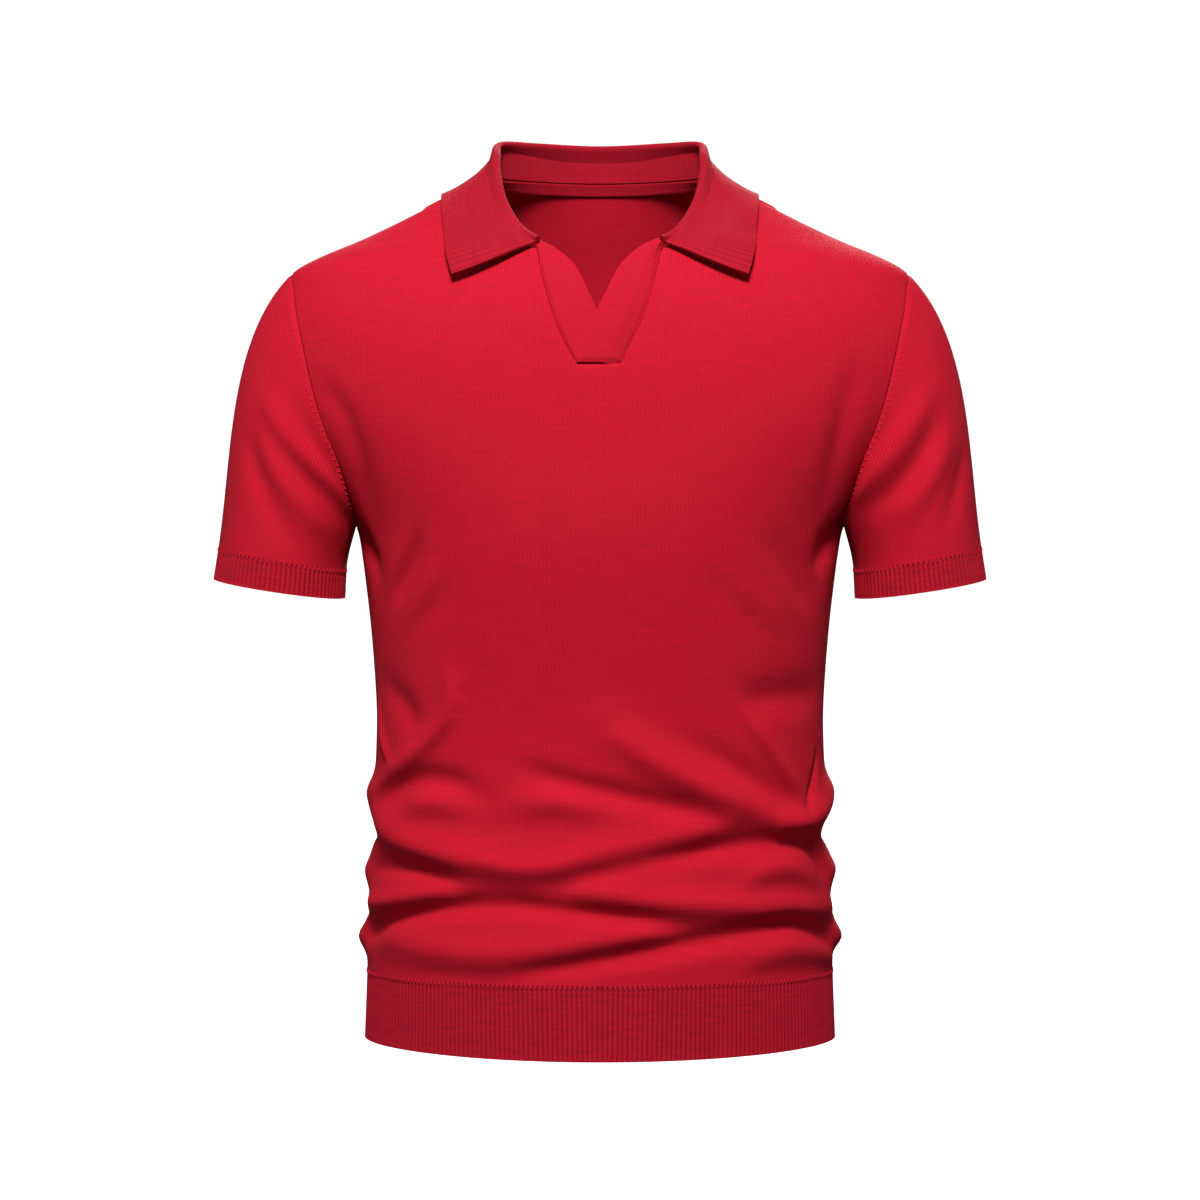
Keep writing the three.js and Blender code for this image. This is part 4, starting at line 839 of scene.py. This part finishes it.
# %% A tree that raises ribs
def new_tree(name, sockets):
    """An empty Geometry Nodes tree with named inputs. Returns the tree and its group input and output."""
    tree = bpy.data.node_groups.new(name, "GeometryNodeTree")
    tree.interface.new_socket("Geometry", in_out="INPUT", socket_type="NodeSocketGeometry")
    for label, kind in sockets.items():
        tree.interface.new_socket(label, in_out="INPUT", socket_type=kind)
    tree.interface.new_socket("Geometry", in_out="OUTPUT", socket_type="NodeSocketGeometry")
    return tree, tree.nodes.new("NodeGroupInput"), tree.nodes.new("NodeGroupOutput")


def attribute(tree, name, kind):
    return add(tree, "GeometryNodeInputNamedAttribute", {"Name": name}, data_type=kind).outputs[0]


def finish_tree(tree, geometry, group_in, group_out):
    """Ends a tree with Realize Instances and Set Material."""
    real = add(tree, "GeometryNodeRealizeInstances", {0: geometry}).outputs[0]
    made = add(tree, "GeometryNodeSetMaterial", {0: real, "Material": group_in.outputs["Material"]})
    tree.links.new(made.outputs[0], group_out.inputs[0])


def rib_tree():
    tree, group_in, group_out = new_tree("Raise ribs", {
        "Ribs": "NodeSocketInt", "Relief": "NodeSocketFloat", "Roundness": "NodeSocketFloat",
        "Material": "NodeSocketMaterial",
    })
    turns = math(tree, "MULTIPLY", attribute(tree, "around", "FLOAT"), group_in.outputs["Ribs"])
    wave = math(tree, "ABSOLUTE", math(tree, "SINE", math(tree, "MULTIPLY", turns, np.pi)))
    rounded = math(tree, "POWER", wave, group_in.outputs["Roundness"])
    furrow = math(tree, "MULTIPLY", math(tree, "SUBTRACT", rounded, 1.0), group_in.outputs["Relief"])
    move = math(tree, "MULTIPLY", furrow, attribute(tree, "raise", "FLOAT"))
    out = attribute(tree, "out", "FLOAT_VECTOR")
    offset = add(tree, "ShaderNodeVectorMath", {0: out, "Scale": move}, operation="SCALE")
    moved = add(tree, "GeometryNodeSetPosition", {0: group_in.outputs[0], "Offset": offset.outputs[0]})
    finish_tree(tree, moved.outputs[0], group_in, group_out)
    return tree


def apply_tree(piece, tree, values):
    """Runs a tree on a piece and keeps the result as its plain mesh."""
    modifier = piece.modifiers.new(tree.name, "NODES")
    modifier.node_group = tree
    for item in tree.interface.items_tree:
        if item.name in values and item.in_out == "INPUT":
            modifier[item.identifier] = values[item.name]
    evaluated = piece.evaluated_get(bpy.context.evaluated_depsgraph_get())
    plain = bpy.data.meshes.new_from_object(evaluated)
    piece.modifiers.clear()
    piece.data = plain
    return piece


RIB_TREE = rib_tree()
RIB_SIDES = 8
UV_PER_RIB = 3.5


def ribbed(name, ring, out, ribs, downs, is_tube, relief, material):
    """A band whose outer face is ring(part, down), in so many ribs, over a plain inner face."""
    parts = np.linspace(0, 1, ribs * RIB_SIDES + (0 if is_tube else 1), endpoint=not is_tube)
    grid, down = np.meshgrid(parts, downs)
    points = ring(grid, down)
    normals = out(grid, down)
    inner = points - RIB_WALL * normals
    length = np.linalg.norm(points[0] - points[-1], axis=-1).mean()
    uv_parts = np.append(parts, 1) if is_tube else parts
    uv = np.stack(np.meshgrid(uv_parts * ribs * UV_PER_RIB, downs * length), -1)
    piece = shell(name, points, inner, uv, is_tube, sharp=1.5)
    ends = np.minimum(1, np.minimum(np.arange(len(downs)), np.arange(len(downs))[::-1]))
    raised = np.broadcast_to((0.4 + 0.6 * ends)[:, None], grid.shape)
    flat = {
        "around": np.concatenate([grid.ravel(), grid.ravel()]),
        "raise": np.concatenate([raised.ravel(), 0 * raised.ravel()]),
    }
    for key, values in flat.items():
        piece.data.attributes.new(key, "FLOAT", "POINT").data.foreach_set("value", values.astype(np.float32))
    vectors = np.concatenate([normals.reshape(-1, 3), normals.reshape(-1, 3)]).astype(np.float32)
    piece.data.attributes.new("out", "FLOAT_VECTOR", "POINT").data.foreach_set("vector", vectors.ravel())
    values = {"Ribs": ribs, "Relief": relief / 1000, "Roundness": 0.7, "Material": material}
    print(name, ribs, "ribs,", round(area_of(points, is_tube), 4), "m2")
    return apply_tree(piece, RIB_TREE, values)


# %% The hem and the cuffs
HEM_RIB_PITCH = 3.5
CUFF_RIB_PITCH = 4
RIB_RELIEF = 0.85
BAND_DOWNS = np.array([0.003, 0.03, 0.1, 0.25, 0.4, 0.55, 0.7, 0.85, 0.97, 1])[::-1]


def hem_ring(turn, down):
    dip = HEM_DIP * np.cos(np.radians(turn)) ** 2 * down
    return body(turn, mix(HEM_SEAM, HEM_BOTTOM, down) - dip)


def make_hem(name, node, start, end):
    marks = np.linspace(start, end, 361)
    steps = np.linalg.norm(np.diff(hem_ring(marks, 1.0), axis=0), axis=-1)
    lengths = np.append(0, np.cumsum(steps))

    def turn_of(part):
        return np.interp(part * lengths[-1], lengths, marks)

    def ring(part, down):
        return hem_ring(turn_of(part), down)

    def out(part, down):
        across = hem_ring(turn_of(part) + 0.3, down) - hem_ring(turn_of(part) - 0.3, down)
        return unit(np.stack([across[..., 1], -across[..., 0], 0 * across[..., 0]], -1))

    ribs = round(lengths[-1] / HEM_RIB_PITCH)
    piece = ribbed(name, ring, out, ribs, BAND_DOWNS, False, RIB_RELIEF, RIB)
    hand_over(piece, RIB, [node])


make_hem("hem_front_band", "hem_front", -HEM_SIDE_TURN, HEM_SIDE_TURN)
make_hem("hem_back_band", "hem_back", 180 - HEM_SIDE_TURN, 180 + HEM_SIDE_TURN)


def make_cuff(name, node, side):
    girth = 2 * np.pi * np.sqrt((CUFF_DEPTH ** 2 + CUFF["half"][1] ** 2) / 2)

    def ring(part, down):
        return cuff_ring(-part * side, down) * [side, 1, 1]

    def out(part, down):
        angle = -2 * np.pi * part * side
        normal = [np.cos(angle) / CUFF["half"][1], -np.sin(angle) / CUFF_DEPTH, 0 * angle]
        return unit(np.stack(normal, -1)) * [side, 1, 1]

    ribs = round(girth / CUFF_RIB_PITCH)
    piece = ribbed(name, ring, out, ribs, BAND_DOWNS, True, RIB_RELIEF, RIB)
    hand_over(piece, RIB, [node])


make_cuff("cuff_left_band", "cuff_left", 1)
make_cuff("cuff_right_band", "cuff_right", -1)

# %% [markdown]
# ## Collar
#
# The collar stands up from the neck seam, rolls over and falls onto the shoulders, in one piece. Its two
# front ends spread into points, and they lie a little off the front, held out by the roll.

# %% The collar's lines
COLLAR = table("at roll_x roll_y roll_z edge_x edge_y edge_z sag", [
    (0, 45, -79.5, -44, 103, -78, -76.8, 4.6),
    (0.12, 50.3, -72, -39.6, 109, -70, -58, 1.5),
    (0.26, 58.5, -56, -30, 112.5, -54, -38, 0),
    (0.38, 69.3, -33, -10.4, 115.5, -30, -18, 0),
    (0.48, 76.6, -10, 13, 117, -3, -4, 0),
    (0.55, 78, 8, 29, 115.5, 20, -3, 0),
    (0.68, 77, 36, 40, 103, 56, -7, 0),
    (0.84, 50, 64, 43.3, 66, 86, -11, 0),
    (1, 0, 80, 43.3, 0, 99, -12, 0),
    (1.16, -50, 64, 43.3, -66, 86, -11, 0),
])
ROLL_RADIUS = 2.2
ROLL_NARROW = 0.5
STAND_GAP = 0.7
COLLAR_LIFT = 1.6
EDGE_LIFT = 7
LIFT_TOP = 14
LIFT_FADE = 12
LIFT_DROP = 14
STAND_STEPS = 8
ROLL_ANGLES = np.linspace(0, 180, 11)[1:-1]
FALL_STEPS = 26


def outside(points):
    """How far points are outside the smooth body, near enough."""
    x, y, z = np.moveaxis(points, -1, 0)
    half, depth, square = oval(z, y < 0)
    reach = (np.abs(x) / half) ** square + (np.abs(y) / depth) ** square
    return (reach ** (1 / square) - 1) * np.minimum(half, depth)


def lift_clear(points, lift):
    """Moves points of the fall out until they lie just over the body. Beside the neck they stay."""
    wanted = COLLAR_WALL / 2 + lift - LIFT_DROP * ease(points[..., 2], LIFT_TOP - LIFT_FADE, LIFT_TOP)
    for _ in range(3):
        here = outside(points)
        slope = np.stack([outside(points + step) - here for step in np.eye(3)], -1)
        short = wanted * np.linalg.norm(slope, axis=-1) - here
        push = np.maximum(short, 0) / (slope ** 2).sum(-1)
        points = points + push[..., None] * slope
    return points


def collar_lines(at):
    """The middle of the collar's cloth, a line for each place along it, from the seam over the roll."""
    row = sample(COLLAR, "at", at)
    roll = np.stack([row["roll_x"], row["roll_y"], row["roll_z"]], -1)
    edge = np.stack([row["edge_x"], row["edge_y"], row["edge_z"]], -1)
    turn, z = neck_seam(at)
    seam = body(turn, z)
    up = unit(roll - seam)
    ahead, behind = sample(COLLAR, "at", at + 0.01), sample(COLLAR, "at", np.maximum(at - 0.01, 0))
    along = np.stack([ahead[key] - behind[key] for key in ("roll_x", "roll_y", "roll_z")], -1)
    out = -unit(np.cross(along, up))
    clothed = cloth_out(turn, z)
    share = np.abs((out * clothed).sum(-1))[:, None]
    start = seam + up * STAND_GAP + clothed * (COLLAR_WALL / 2 + 2.5 * SEAM_GAP) * share
    radius = (ROLL_RADIUS * mix(ROLL_NARROW, 1, ease(at, 0, 0.14)))[:, None]
    hub = roll - up * radius + out * radius
    lines = [mix(start, hub - out * radius, t) for t in np.linspace(0, 1, STAND_STEPS)]
    for angle in np.radians(ROLL_ANGLES):
        lines.append(hub - out * radius * np.cos(angle) + up * radius * np.sin(angle))
    turned = hub + out * radius
    for t in np.linspace(0, 1, FALL_STEPS):
        point = mix(turned, edge, t)
        point[:, 2] -= row["sag"] * 4 * t * (1 - t)
        front_share = 1 - ease(at, 0.04, 0.45)
        lines.append(lift_clear(point, COLLAR_LIFT + EDGE_LIFT * t * (1.7 - t) * front_share))
    return np.stack(lines)


half_at = np.concatenate([np.linspace(0, 0.1, 16), np.linspace(0.1, 1, 76)[1:]])
collar_half = collar_lines(half_at)
collar_middle = np.concatenate([collar_half, collar_half[:, -2::-1] * [-1, 1, 1]], 1)
collar_out = grid_out(collar_middle) * COLLAR_WALL / 2
along_steps = np.linalg.norm(np.diff(collar_middle[STAND_STEPS], axis=0), axis=-1)
up_steps = np.linalg.norm(np.diff(collar_middle[:, len(half_at) - 1], axis=0), axis=-1)
collar_uv = np.stack(np.meshgrid(np.append(0, np.cumsum(along_steps)), np.append(0, np.cumsum(up_steps))), -1)
collar = shell("collar_rib", collar_middle + collar_out, collar_middle - collar_out, collar_uv)
print("collar", round(area_of(collar_middle), 4), "m2")
hand_over(collar, COLLAR_RIB, ["collar"])

# %% [markdown]
# ## Placket
#
# Two knitted bands edge the slit. The one on the wearer's left laps over the other, and its lower end is
# folded under and stitched across, though that row of stitches is not drawn.

# %% The placket bands
BAND = "up sewn_z free_x free_z"
BAND_UNDER = table(BAND, [
    (0, -136, 3, -136),
    (0.2, -121, 1, -118),
    (0.4, -104, -1, -102),
    (0.6, -86, -9, -82),
    (0.8, -69, -18.5, -63),
    (0.9, -60, -31, -51.5),
    (1, -50, -45, -44.5),
])
BAND_OVER = table(BAND, [
    (0, -136, -17, -136),
    (0.2, -121.5, -11, -119),
    (0.4, -104, -4, -102),
    (0.6, -86, 4.5, -84),
    (0.8, -67, 15, -64),
    (0.9, -58, 28.5, -51.5),
    (1, -49.5, 44.5, -44.5),
])
UNDER_SINK = -0.4
OVER_RISE = 2
BAND_MARGIN = 0.5
BAND_DIP = 0.9
TOP_RISE = 2


def band_points(source, side, rise, up, across):
    """Points of a placket band: up runs from its lower end to the collar, across from sewn to free edge."""
    row = sample(source, "up", up)
    low = SLIT_BOTTOM + BAND_MARGIN
    slit = sample(SLIT, "z", row["sewn_z"])["left" if side > 0 else "right"]
    sewn_x = slit - side * BAND_MARGIN
    free_x = row["free_x"] + side * BAND_MARGIN * (up == 0)
    x = mix(sewn_x, free_x, across)
    z = mix(np.maximum(row["sewn_z"], low), np.maximum(row["free_z"], low), across)
    turn = turn_at(x, z, True)
    lift = rise * ease(across, 0, 0.4) + TOP_RISE * ease(up, 0.8, 1)
    return cloth(turn, z) + lift[..., None] * cloth_out(turn, z)


def make_band(name, node, source, side, rise):
    across, up = np.meshgrid(np.linspace(0, 1, 30), np.linspace(0, 1, 70))
    points = band_points(source, side, rise, up, across)
    if side > 0:
        points = points[:, ::-1]
    width = np.linalg.norm(points[:, 0] - points[:, -1], axis=-1)[:, None]
    uv = np.stack([np.broadcast_to(np.linspace(0, 1, 30) * width, up.shape), up * 95], -1)
    out = grid_out(points)
    edge = np.full(up.shape, np.inf)
    for border in (points[:, :1], points[:, -1:], points[:1]):
        edge = np.minimum(edge, np.linalg.norm(points - border, axis=-1))
    points = points - (BAND_DIP * np.exp(-(edge / 1.6) ** 2))[..., None] * out
    piece = shell(name, points, points - WALL * out, uv)
    print(name, round(area_of(points), 5), "m2")
    hand_over(piece, BAND_KNIT, [node])


BAND_KNIT = knit_material("band_knit", "CC102C", "B20B24", 0.0019, 0.0015, 0.0004)
make_band("placket_under_band", "placket_under", BAND_UNDER, -1, UNDER_SINK)
make_band("placket_over_band", "placket_over", BAND_OVER, 1, OVER_RISE)

# %% [markdown]
# ## Neck tape
#
# A narrow tape covers the seam inside the back of the neck. It follows the inner face of the back panel,
# so it is made from that panel's own points.

# %% The tape
TAPE_HEIGHT = 8.5
TAPE_DROP = 0.5
TAPE_GAP = 0.8
TAPE_TURN = 24.3
tape_panel, tape_uv = panel(np.linspace(0, TAPE_TURN, 40), np.array([1.87, 1.94, 2]), False, dip=0)
tape_panel = tape_panel - WALL * grid_out(tape_panel)
tape_down = unit(tape_panel[0] - tape_panel[-1])
tape_out = unit(np.cross(np.gradient(tape_panel[-1], axis=0), -tape_down))
tape_rows = [
    tape_panel[-1] + tape_down * drop - tape_out * TAPE_GAP
    for drop in np.linspace(TAPE_HEIGHT, TAPE_DROP, 6)
]
tape_points = np.stack(tape_rows)
tape_grid_uv = np.stack(np.meshgrid(tape_uv[-1, :, 0], np.linspace(0, TAPE_HEIGHT, 6)), -1)
tape = shell("neck_tape_cloth", tape_points, tape_points - TAPE_WALL * tape_out, tape_grid_uv)
hand_over(tape, TAPE, ["neck_tape"])

# %% [markdown]
# ## Stitches
#
# Loops show where the bands are linked on, ticks run down the armholes, and small whip stitches edge the
# collar. All of them repeat along a path, so one Geometry Nodes tree sets them out: it walks along a line
# of points at an even spacing and puts one small bead of thread at each step, turned to lie on the cloth.

# %% A tree that sets out stitches
def stitch_tree():
    tree, group_in, group_out = new_tree("Set out stitches", {
        "Spacing": "NodeSocketFloat", "Size": "NodeSocketVector", "Turn": "NodeSocketFloat",
        "Material": "NodeSocketMaterial",
    })
    path = add(tree, "GeometryNodeMeshToCurve", {0: group_in.outputs[0]}).outputs[0]
    spaced = add(tree, "GeometryNodeResampleCurve", {
        0: path, "Length": group_in.outputs["Spacing"],
    }, mode="LENGTH")
    bead = add(tree, "GeometryNodeMeshIcoSphere", {"Radius": 1.0, "Subdivisions": 2}).outputs[0]
    smooth = add(tree, "GeometryNodeSetShadeSmooth", {0: bead}).outputs[0]
    out = attribute(tree, "out", "FLOAT_VECTOR")
    upright = add(tree, "FunctionNodeAlignRotationToVector", {"Vector": out}, axis="Z")
    tangent = tree.nodes.new("GeometryNodeInputTangent").outputs[0]
    along = add(tree, "FunctionNodeAlignRotationToVector", {
        "Rotation": upright.outputs[0], "Vector": tangent,
    }, axis="X", pivot_axis="Z")
    spin = add(tree, "FunctionNodeAxisAngleToRotation", {
        "Axis": (0, 0, 1), "Angle": group_in.outputs["Turn"],
    })
    turned = add(tree, "FunctionNodeRotateRotation", {
        "Rotation": along.outputs[0], "Rotate By": spin.outputs[0],
    }, rotation_space="LOCAL")
    beads = add(tree, "GeometryNodeInstanceOnPoints", {
        "Points": spaced.outputs[0], "Instance": smooth, "Rotation": turned.outputs[0],
        "Scale": group_in.outputs["Size"],
    })
    finish_tree(tree, beads.outputs[0], group_in, group_out)
    return tree


STITCH_TREE = stitch_tree()


def stitches(name, points, out, spacing, size, turn=0.0):
    """A row of stitches along points. size is half of each bead's length, width and height, in mm."""
    count = len(points)
    mesh = bpy.data.meshes.new(name)
    edges = [(i, i + 1) for i in range(count - 1)]
    mesh.from_pydata((points / 1000).tolist(), edges, [])
    mesh.attributes.new("out", "FLOAT_VECTOR", "POINT").data.foreach_set(
        "vector", out.astype(np.float32).ravel())
    piece = bpy.data.objects.new(name, mesh)
    bpy.context.collection.objects.link(piece)
    values = {
        "Spacing": spacing / 1000, "Size": [part / 1000 for part in size], "Turn": turn,
        "Material": HIGHLIGHT_THREAD,
    }
    apply_tree(piece, STITCH_TREE, values)
    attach(piece, "root")
    print(name, len(piece.data.polygons) // 80, "stitches")
    return piece


# %% Linking loops at the hem and the cuffs
hem_turns = np.linspace(0, 360, 721)
hem_out = out_of(body, hem_turns, np.full(721, HEM_SEAM + 1.0), 0.8, 2)
hem_line = body(hem_turns, HEM_SEAM - 1) + hem_out * 0.1
stitches("hem_loops", hem_line, hem_out, HEM_RIB_PITCH, (0.85, 1.8, 0.45))
for side, name in ((1, "cuff_left_loops"), (-1, "cuff_right_loops")):
    around = np.linspace(0, 1, 241)
    line = cuff_ring(around, 0.05) * [side, 1, 1]
    angle = 2 * np.pi * around
    out = unit(np.stack([np.cos(angle) / 48, -np.sin(angle) / CUFF_DEPTH, 0 * angle], -1)) * [side, 1, 1]
    stitches(name, line + out * 0.1, out, CUFF_RIB_PITCH, (0.65, 1.6, 0.35))

# %% Ticks down the armholes
TICK_DOWN = 0.035
for side, name, folds in ((1, "armhole_left_ticks", SLEEVE_FOLDS_LEFT),
                          (-1, "armhole_right_ticks", SLEEVE_FOLDS_RIGHT)):
    for part, low, high in (("front", 0.13, 0.47), ("back", 0.53, 0.87)):
        around = np.linspace(low, high, 160)
        down = np.full(around.shape, TICK_DOWN)

        def surface(a, b):
            return sleeve_cloth(a, b, side, folds)

        line = surface(around, down)
        out = out_of(surface, around, down, 0.004, 0.01)
        stitches(f"{name}_{part}", (line - out * 0.1) * [side, 1, 1], out * [side, 1, 1],
                 4.6, (0.6, 1.5, 0.42), 0.45 * side)

# %% Whip stitches round the collar's edge and the tape
WHIP_START = STAND_STEPS + 18


def along_edge(grid):
    """Values half a grid step inside the collar's free edges, from one front end round to the other."""
    left = (grid[:, 0] + grid[:, 1]) / 2
    lower = (grid[-1] + grid[-2]) / 2
    right = (grid[:, -1] + grid[:, -2]) / 2
    return np.concatenate([left[WHIP_START:-1], lower[1:-1], right[-2:WHIP_START - 1:-1]])


whip_out = unit(along_edge(collar_out))
whip_line = along_edge(collar_middle) + whip_out * COLLAR_WALL / 2
stitches("collar_whip", whip_line, whip_out, 2.3, (0.42, 0.95, 0.32))
tape_line = tape_points[1] - tape_out * (TAPE_WALL + 0.05)
stitches("tape_stitches", tape_line, -tape_out, 2.6, (0.9, 0.25, 0.2), 0.0)

# %% Stitches on the placket
for name, source, side, rise in (("placket_under_seam", BAND_UNDER, -1, UNDER_SINK),
                                 ("placket_over_seam", BAND_OVER, 1, OVER_RISE)):
    up = np.linspace(0.03, 0.84, 90)
    line = band_points(source, side, rise, up, np.full(90, 0.06))
    out = np.broadcast_to([0, -0.94, 0.34], line.shape)
    stitches(name, line + out * 0.05, out, 2.2, (0.75, 0.3, 0.25), 0.0)

# %% [markdown]
# ## Camera, light and backdrop
#
# The photograph is taken level with the chest from a little over two metres, with a soft light above the
# front and a pale sweep behind. A large area light gives the soft shade under each fold.

# %% Camera
SHIRT_MIDDLE = Vector((0, 0, -0.303))
CAMERA_DISTANCE = 2.25
QUARTER = np.pi / 2
camera_data = bpy.data.cameras.new("camera")
camera_data.lens = 91.2
camera_data.sensor_width = 36
camera = bpy.data.objects.new("camera", camera_data)
camera.location = SHIRT_MIDDLE - Vector((0, CAMERA_DISTANCE, 0))
camera.rotation_euler = (QUARTER, 0, 0)
bpy.context.collection.objects.link(camera)
bpy.context.scene.camera = camera


# %% Lights
def area_light(name, place, size, energy, aim=SHIRT_MIDDLE):
    light = bpy.data.lights.new(name, "AREA")
    light.shape = "DISK"
    light.size = size
    light.energy = energy
    lamp = bpy.data.objects.new(name, light)
    lamp.location = place
    lamp.rotation_euler = (aim - Vector(place)).to_track_quat("-Z", "Y").to_euler()
    bpy.context.collection.objects.link(lamp)


area_light("key", (-0.07, -2.15, 1.85), 0.8, 108)
area_light("side_left", (-2.1, -0.5, -0.2), 0.9, 5)
area_light("side_right", (2.1, -0.5, -0.2), 0.9, 3)
area_light("back", (0.4, 2.3, 1.3), 1.1, 80)
world = bpy.data.worlds.new("studio")
world.use_nodes = True
world.node_tree.nodes["Background"].inputs["Color"].default_value = linear("FFF8F6")
world.node_tree.nodes["Background"].inputs["Strength"].default_value = 0.08
bpy.context.scene.world = world
bpy.context.scene.view_settings.view_transform = "Standard"

# %% [markdown]
# The backdrop is a pale studio bowl: a floor that curves up into a wall all round, so that it has no
# horizon from any side. It doesn't throw its own light back on the cloth, which keeps the folds deep.

# %% Backdrop
FLOOR = -1.25
FLOOR_RADIUS = 2.2
BOWL_CURVE = 1.2
WALL_TOP = 3.4
BOWL_SIDES = 96
bowl_profile = [(0.02, FLOOR), (FLOOR_RADIUS, FLOOR)]
for angle in np.radians(np.linspace(10, 90, 9)):
    bowl_profile.append((FLOOR_RADIUS + BOWL_CURVE * np.sin(angle), FLOOR + BOWL_CURVE * (1 - np.cos(angle))))
bowl_profile.append((FLOOR_RADIUS + BOWL_CURVE, WALL_TOP))
bowl_turns = np.linspace(0, 2 * np.pi, BOWL_SIDES, endpoint=False)
bowl_points = [(r * np.cos(t), r * np.sin(t), z) for r, z in bowl_profile for t in bowl_turns]
bowl_faces = [
    (row * BOWL_SIDES + i, row * BOWL_SIDES + (i + 1) % BOWL_SIDES,
     (row + 1) * BOWL_SIDES + (i + 1) % BOWL_SIDES, (row + 1) * BOWL_SIDES + i)
    for row in range(len(bowl_profile) - 1) for i in range(BOWL_SIDES)
]
bowl_faces.append(tuple(range(BOWL_SIDES)))
backdrop_mesh = bpy.data.meshes.new("backdrop")
backdrop_mesh.from_pydata(bowl_points, [], bowl_faces)
backdrop_mesh.shade_smooth()
pale = bpy.data.materials.new("pale")
pale.use_nodes = True
pale_shader = pale.node_tree.nodes["Principled BSDF"]
pale_shader.inputs["Base Color"].default_value = linear("F4F4F4")
pale_shader.inputs["Roughness"].default_value = 1
pale_shader.inputs["Specular IOR Level"].default_value = 0
pale_shader.inputs["Emission Color"].default_value = linear("FFFFFF")
pale_shader.inputs["Emission Strength"].default_value = 0.75
backdrop_mesh.materials.append(pale)
backdrop = bpy.data.objects.new("backdrop", backdrop_mesh)
backdrop.visible_diffuse = False
backdrop.visible_glossy = False
backdrop.visible_shadow = False
bpy.context.collection.objects.link(backdrop)
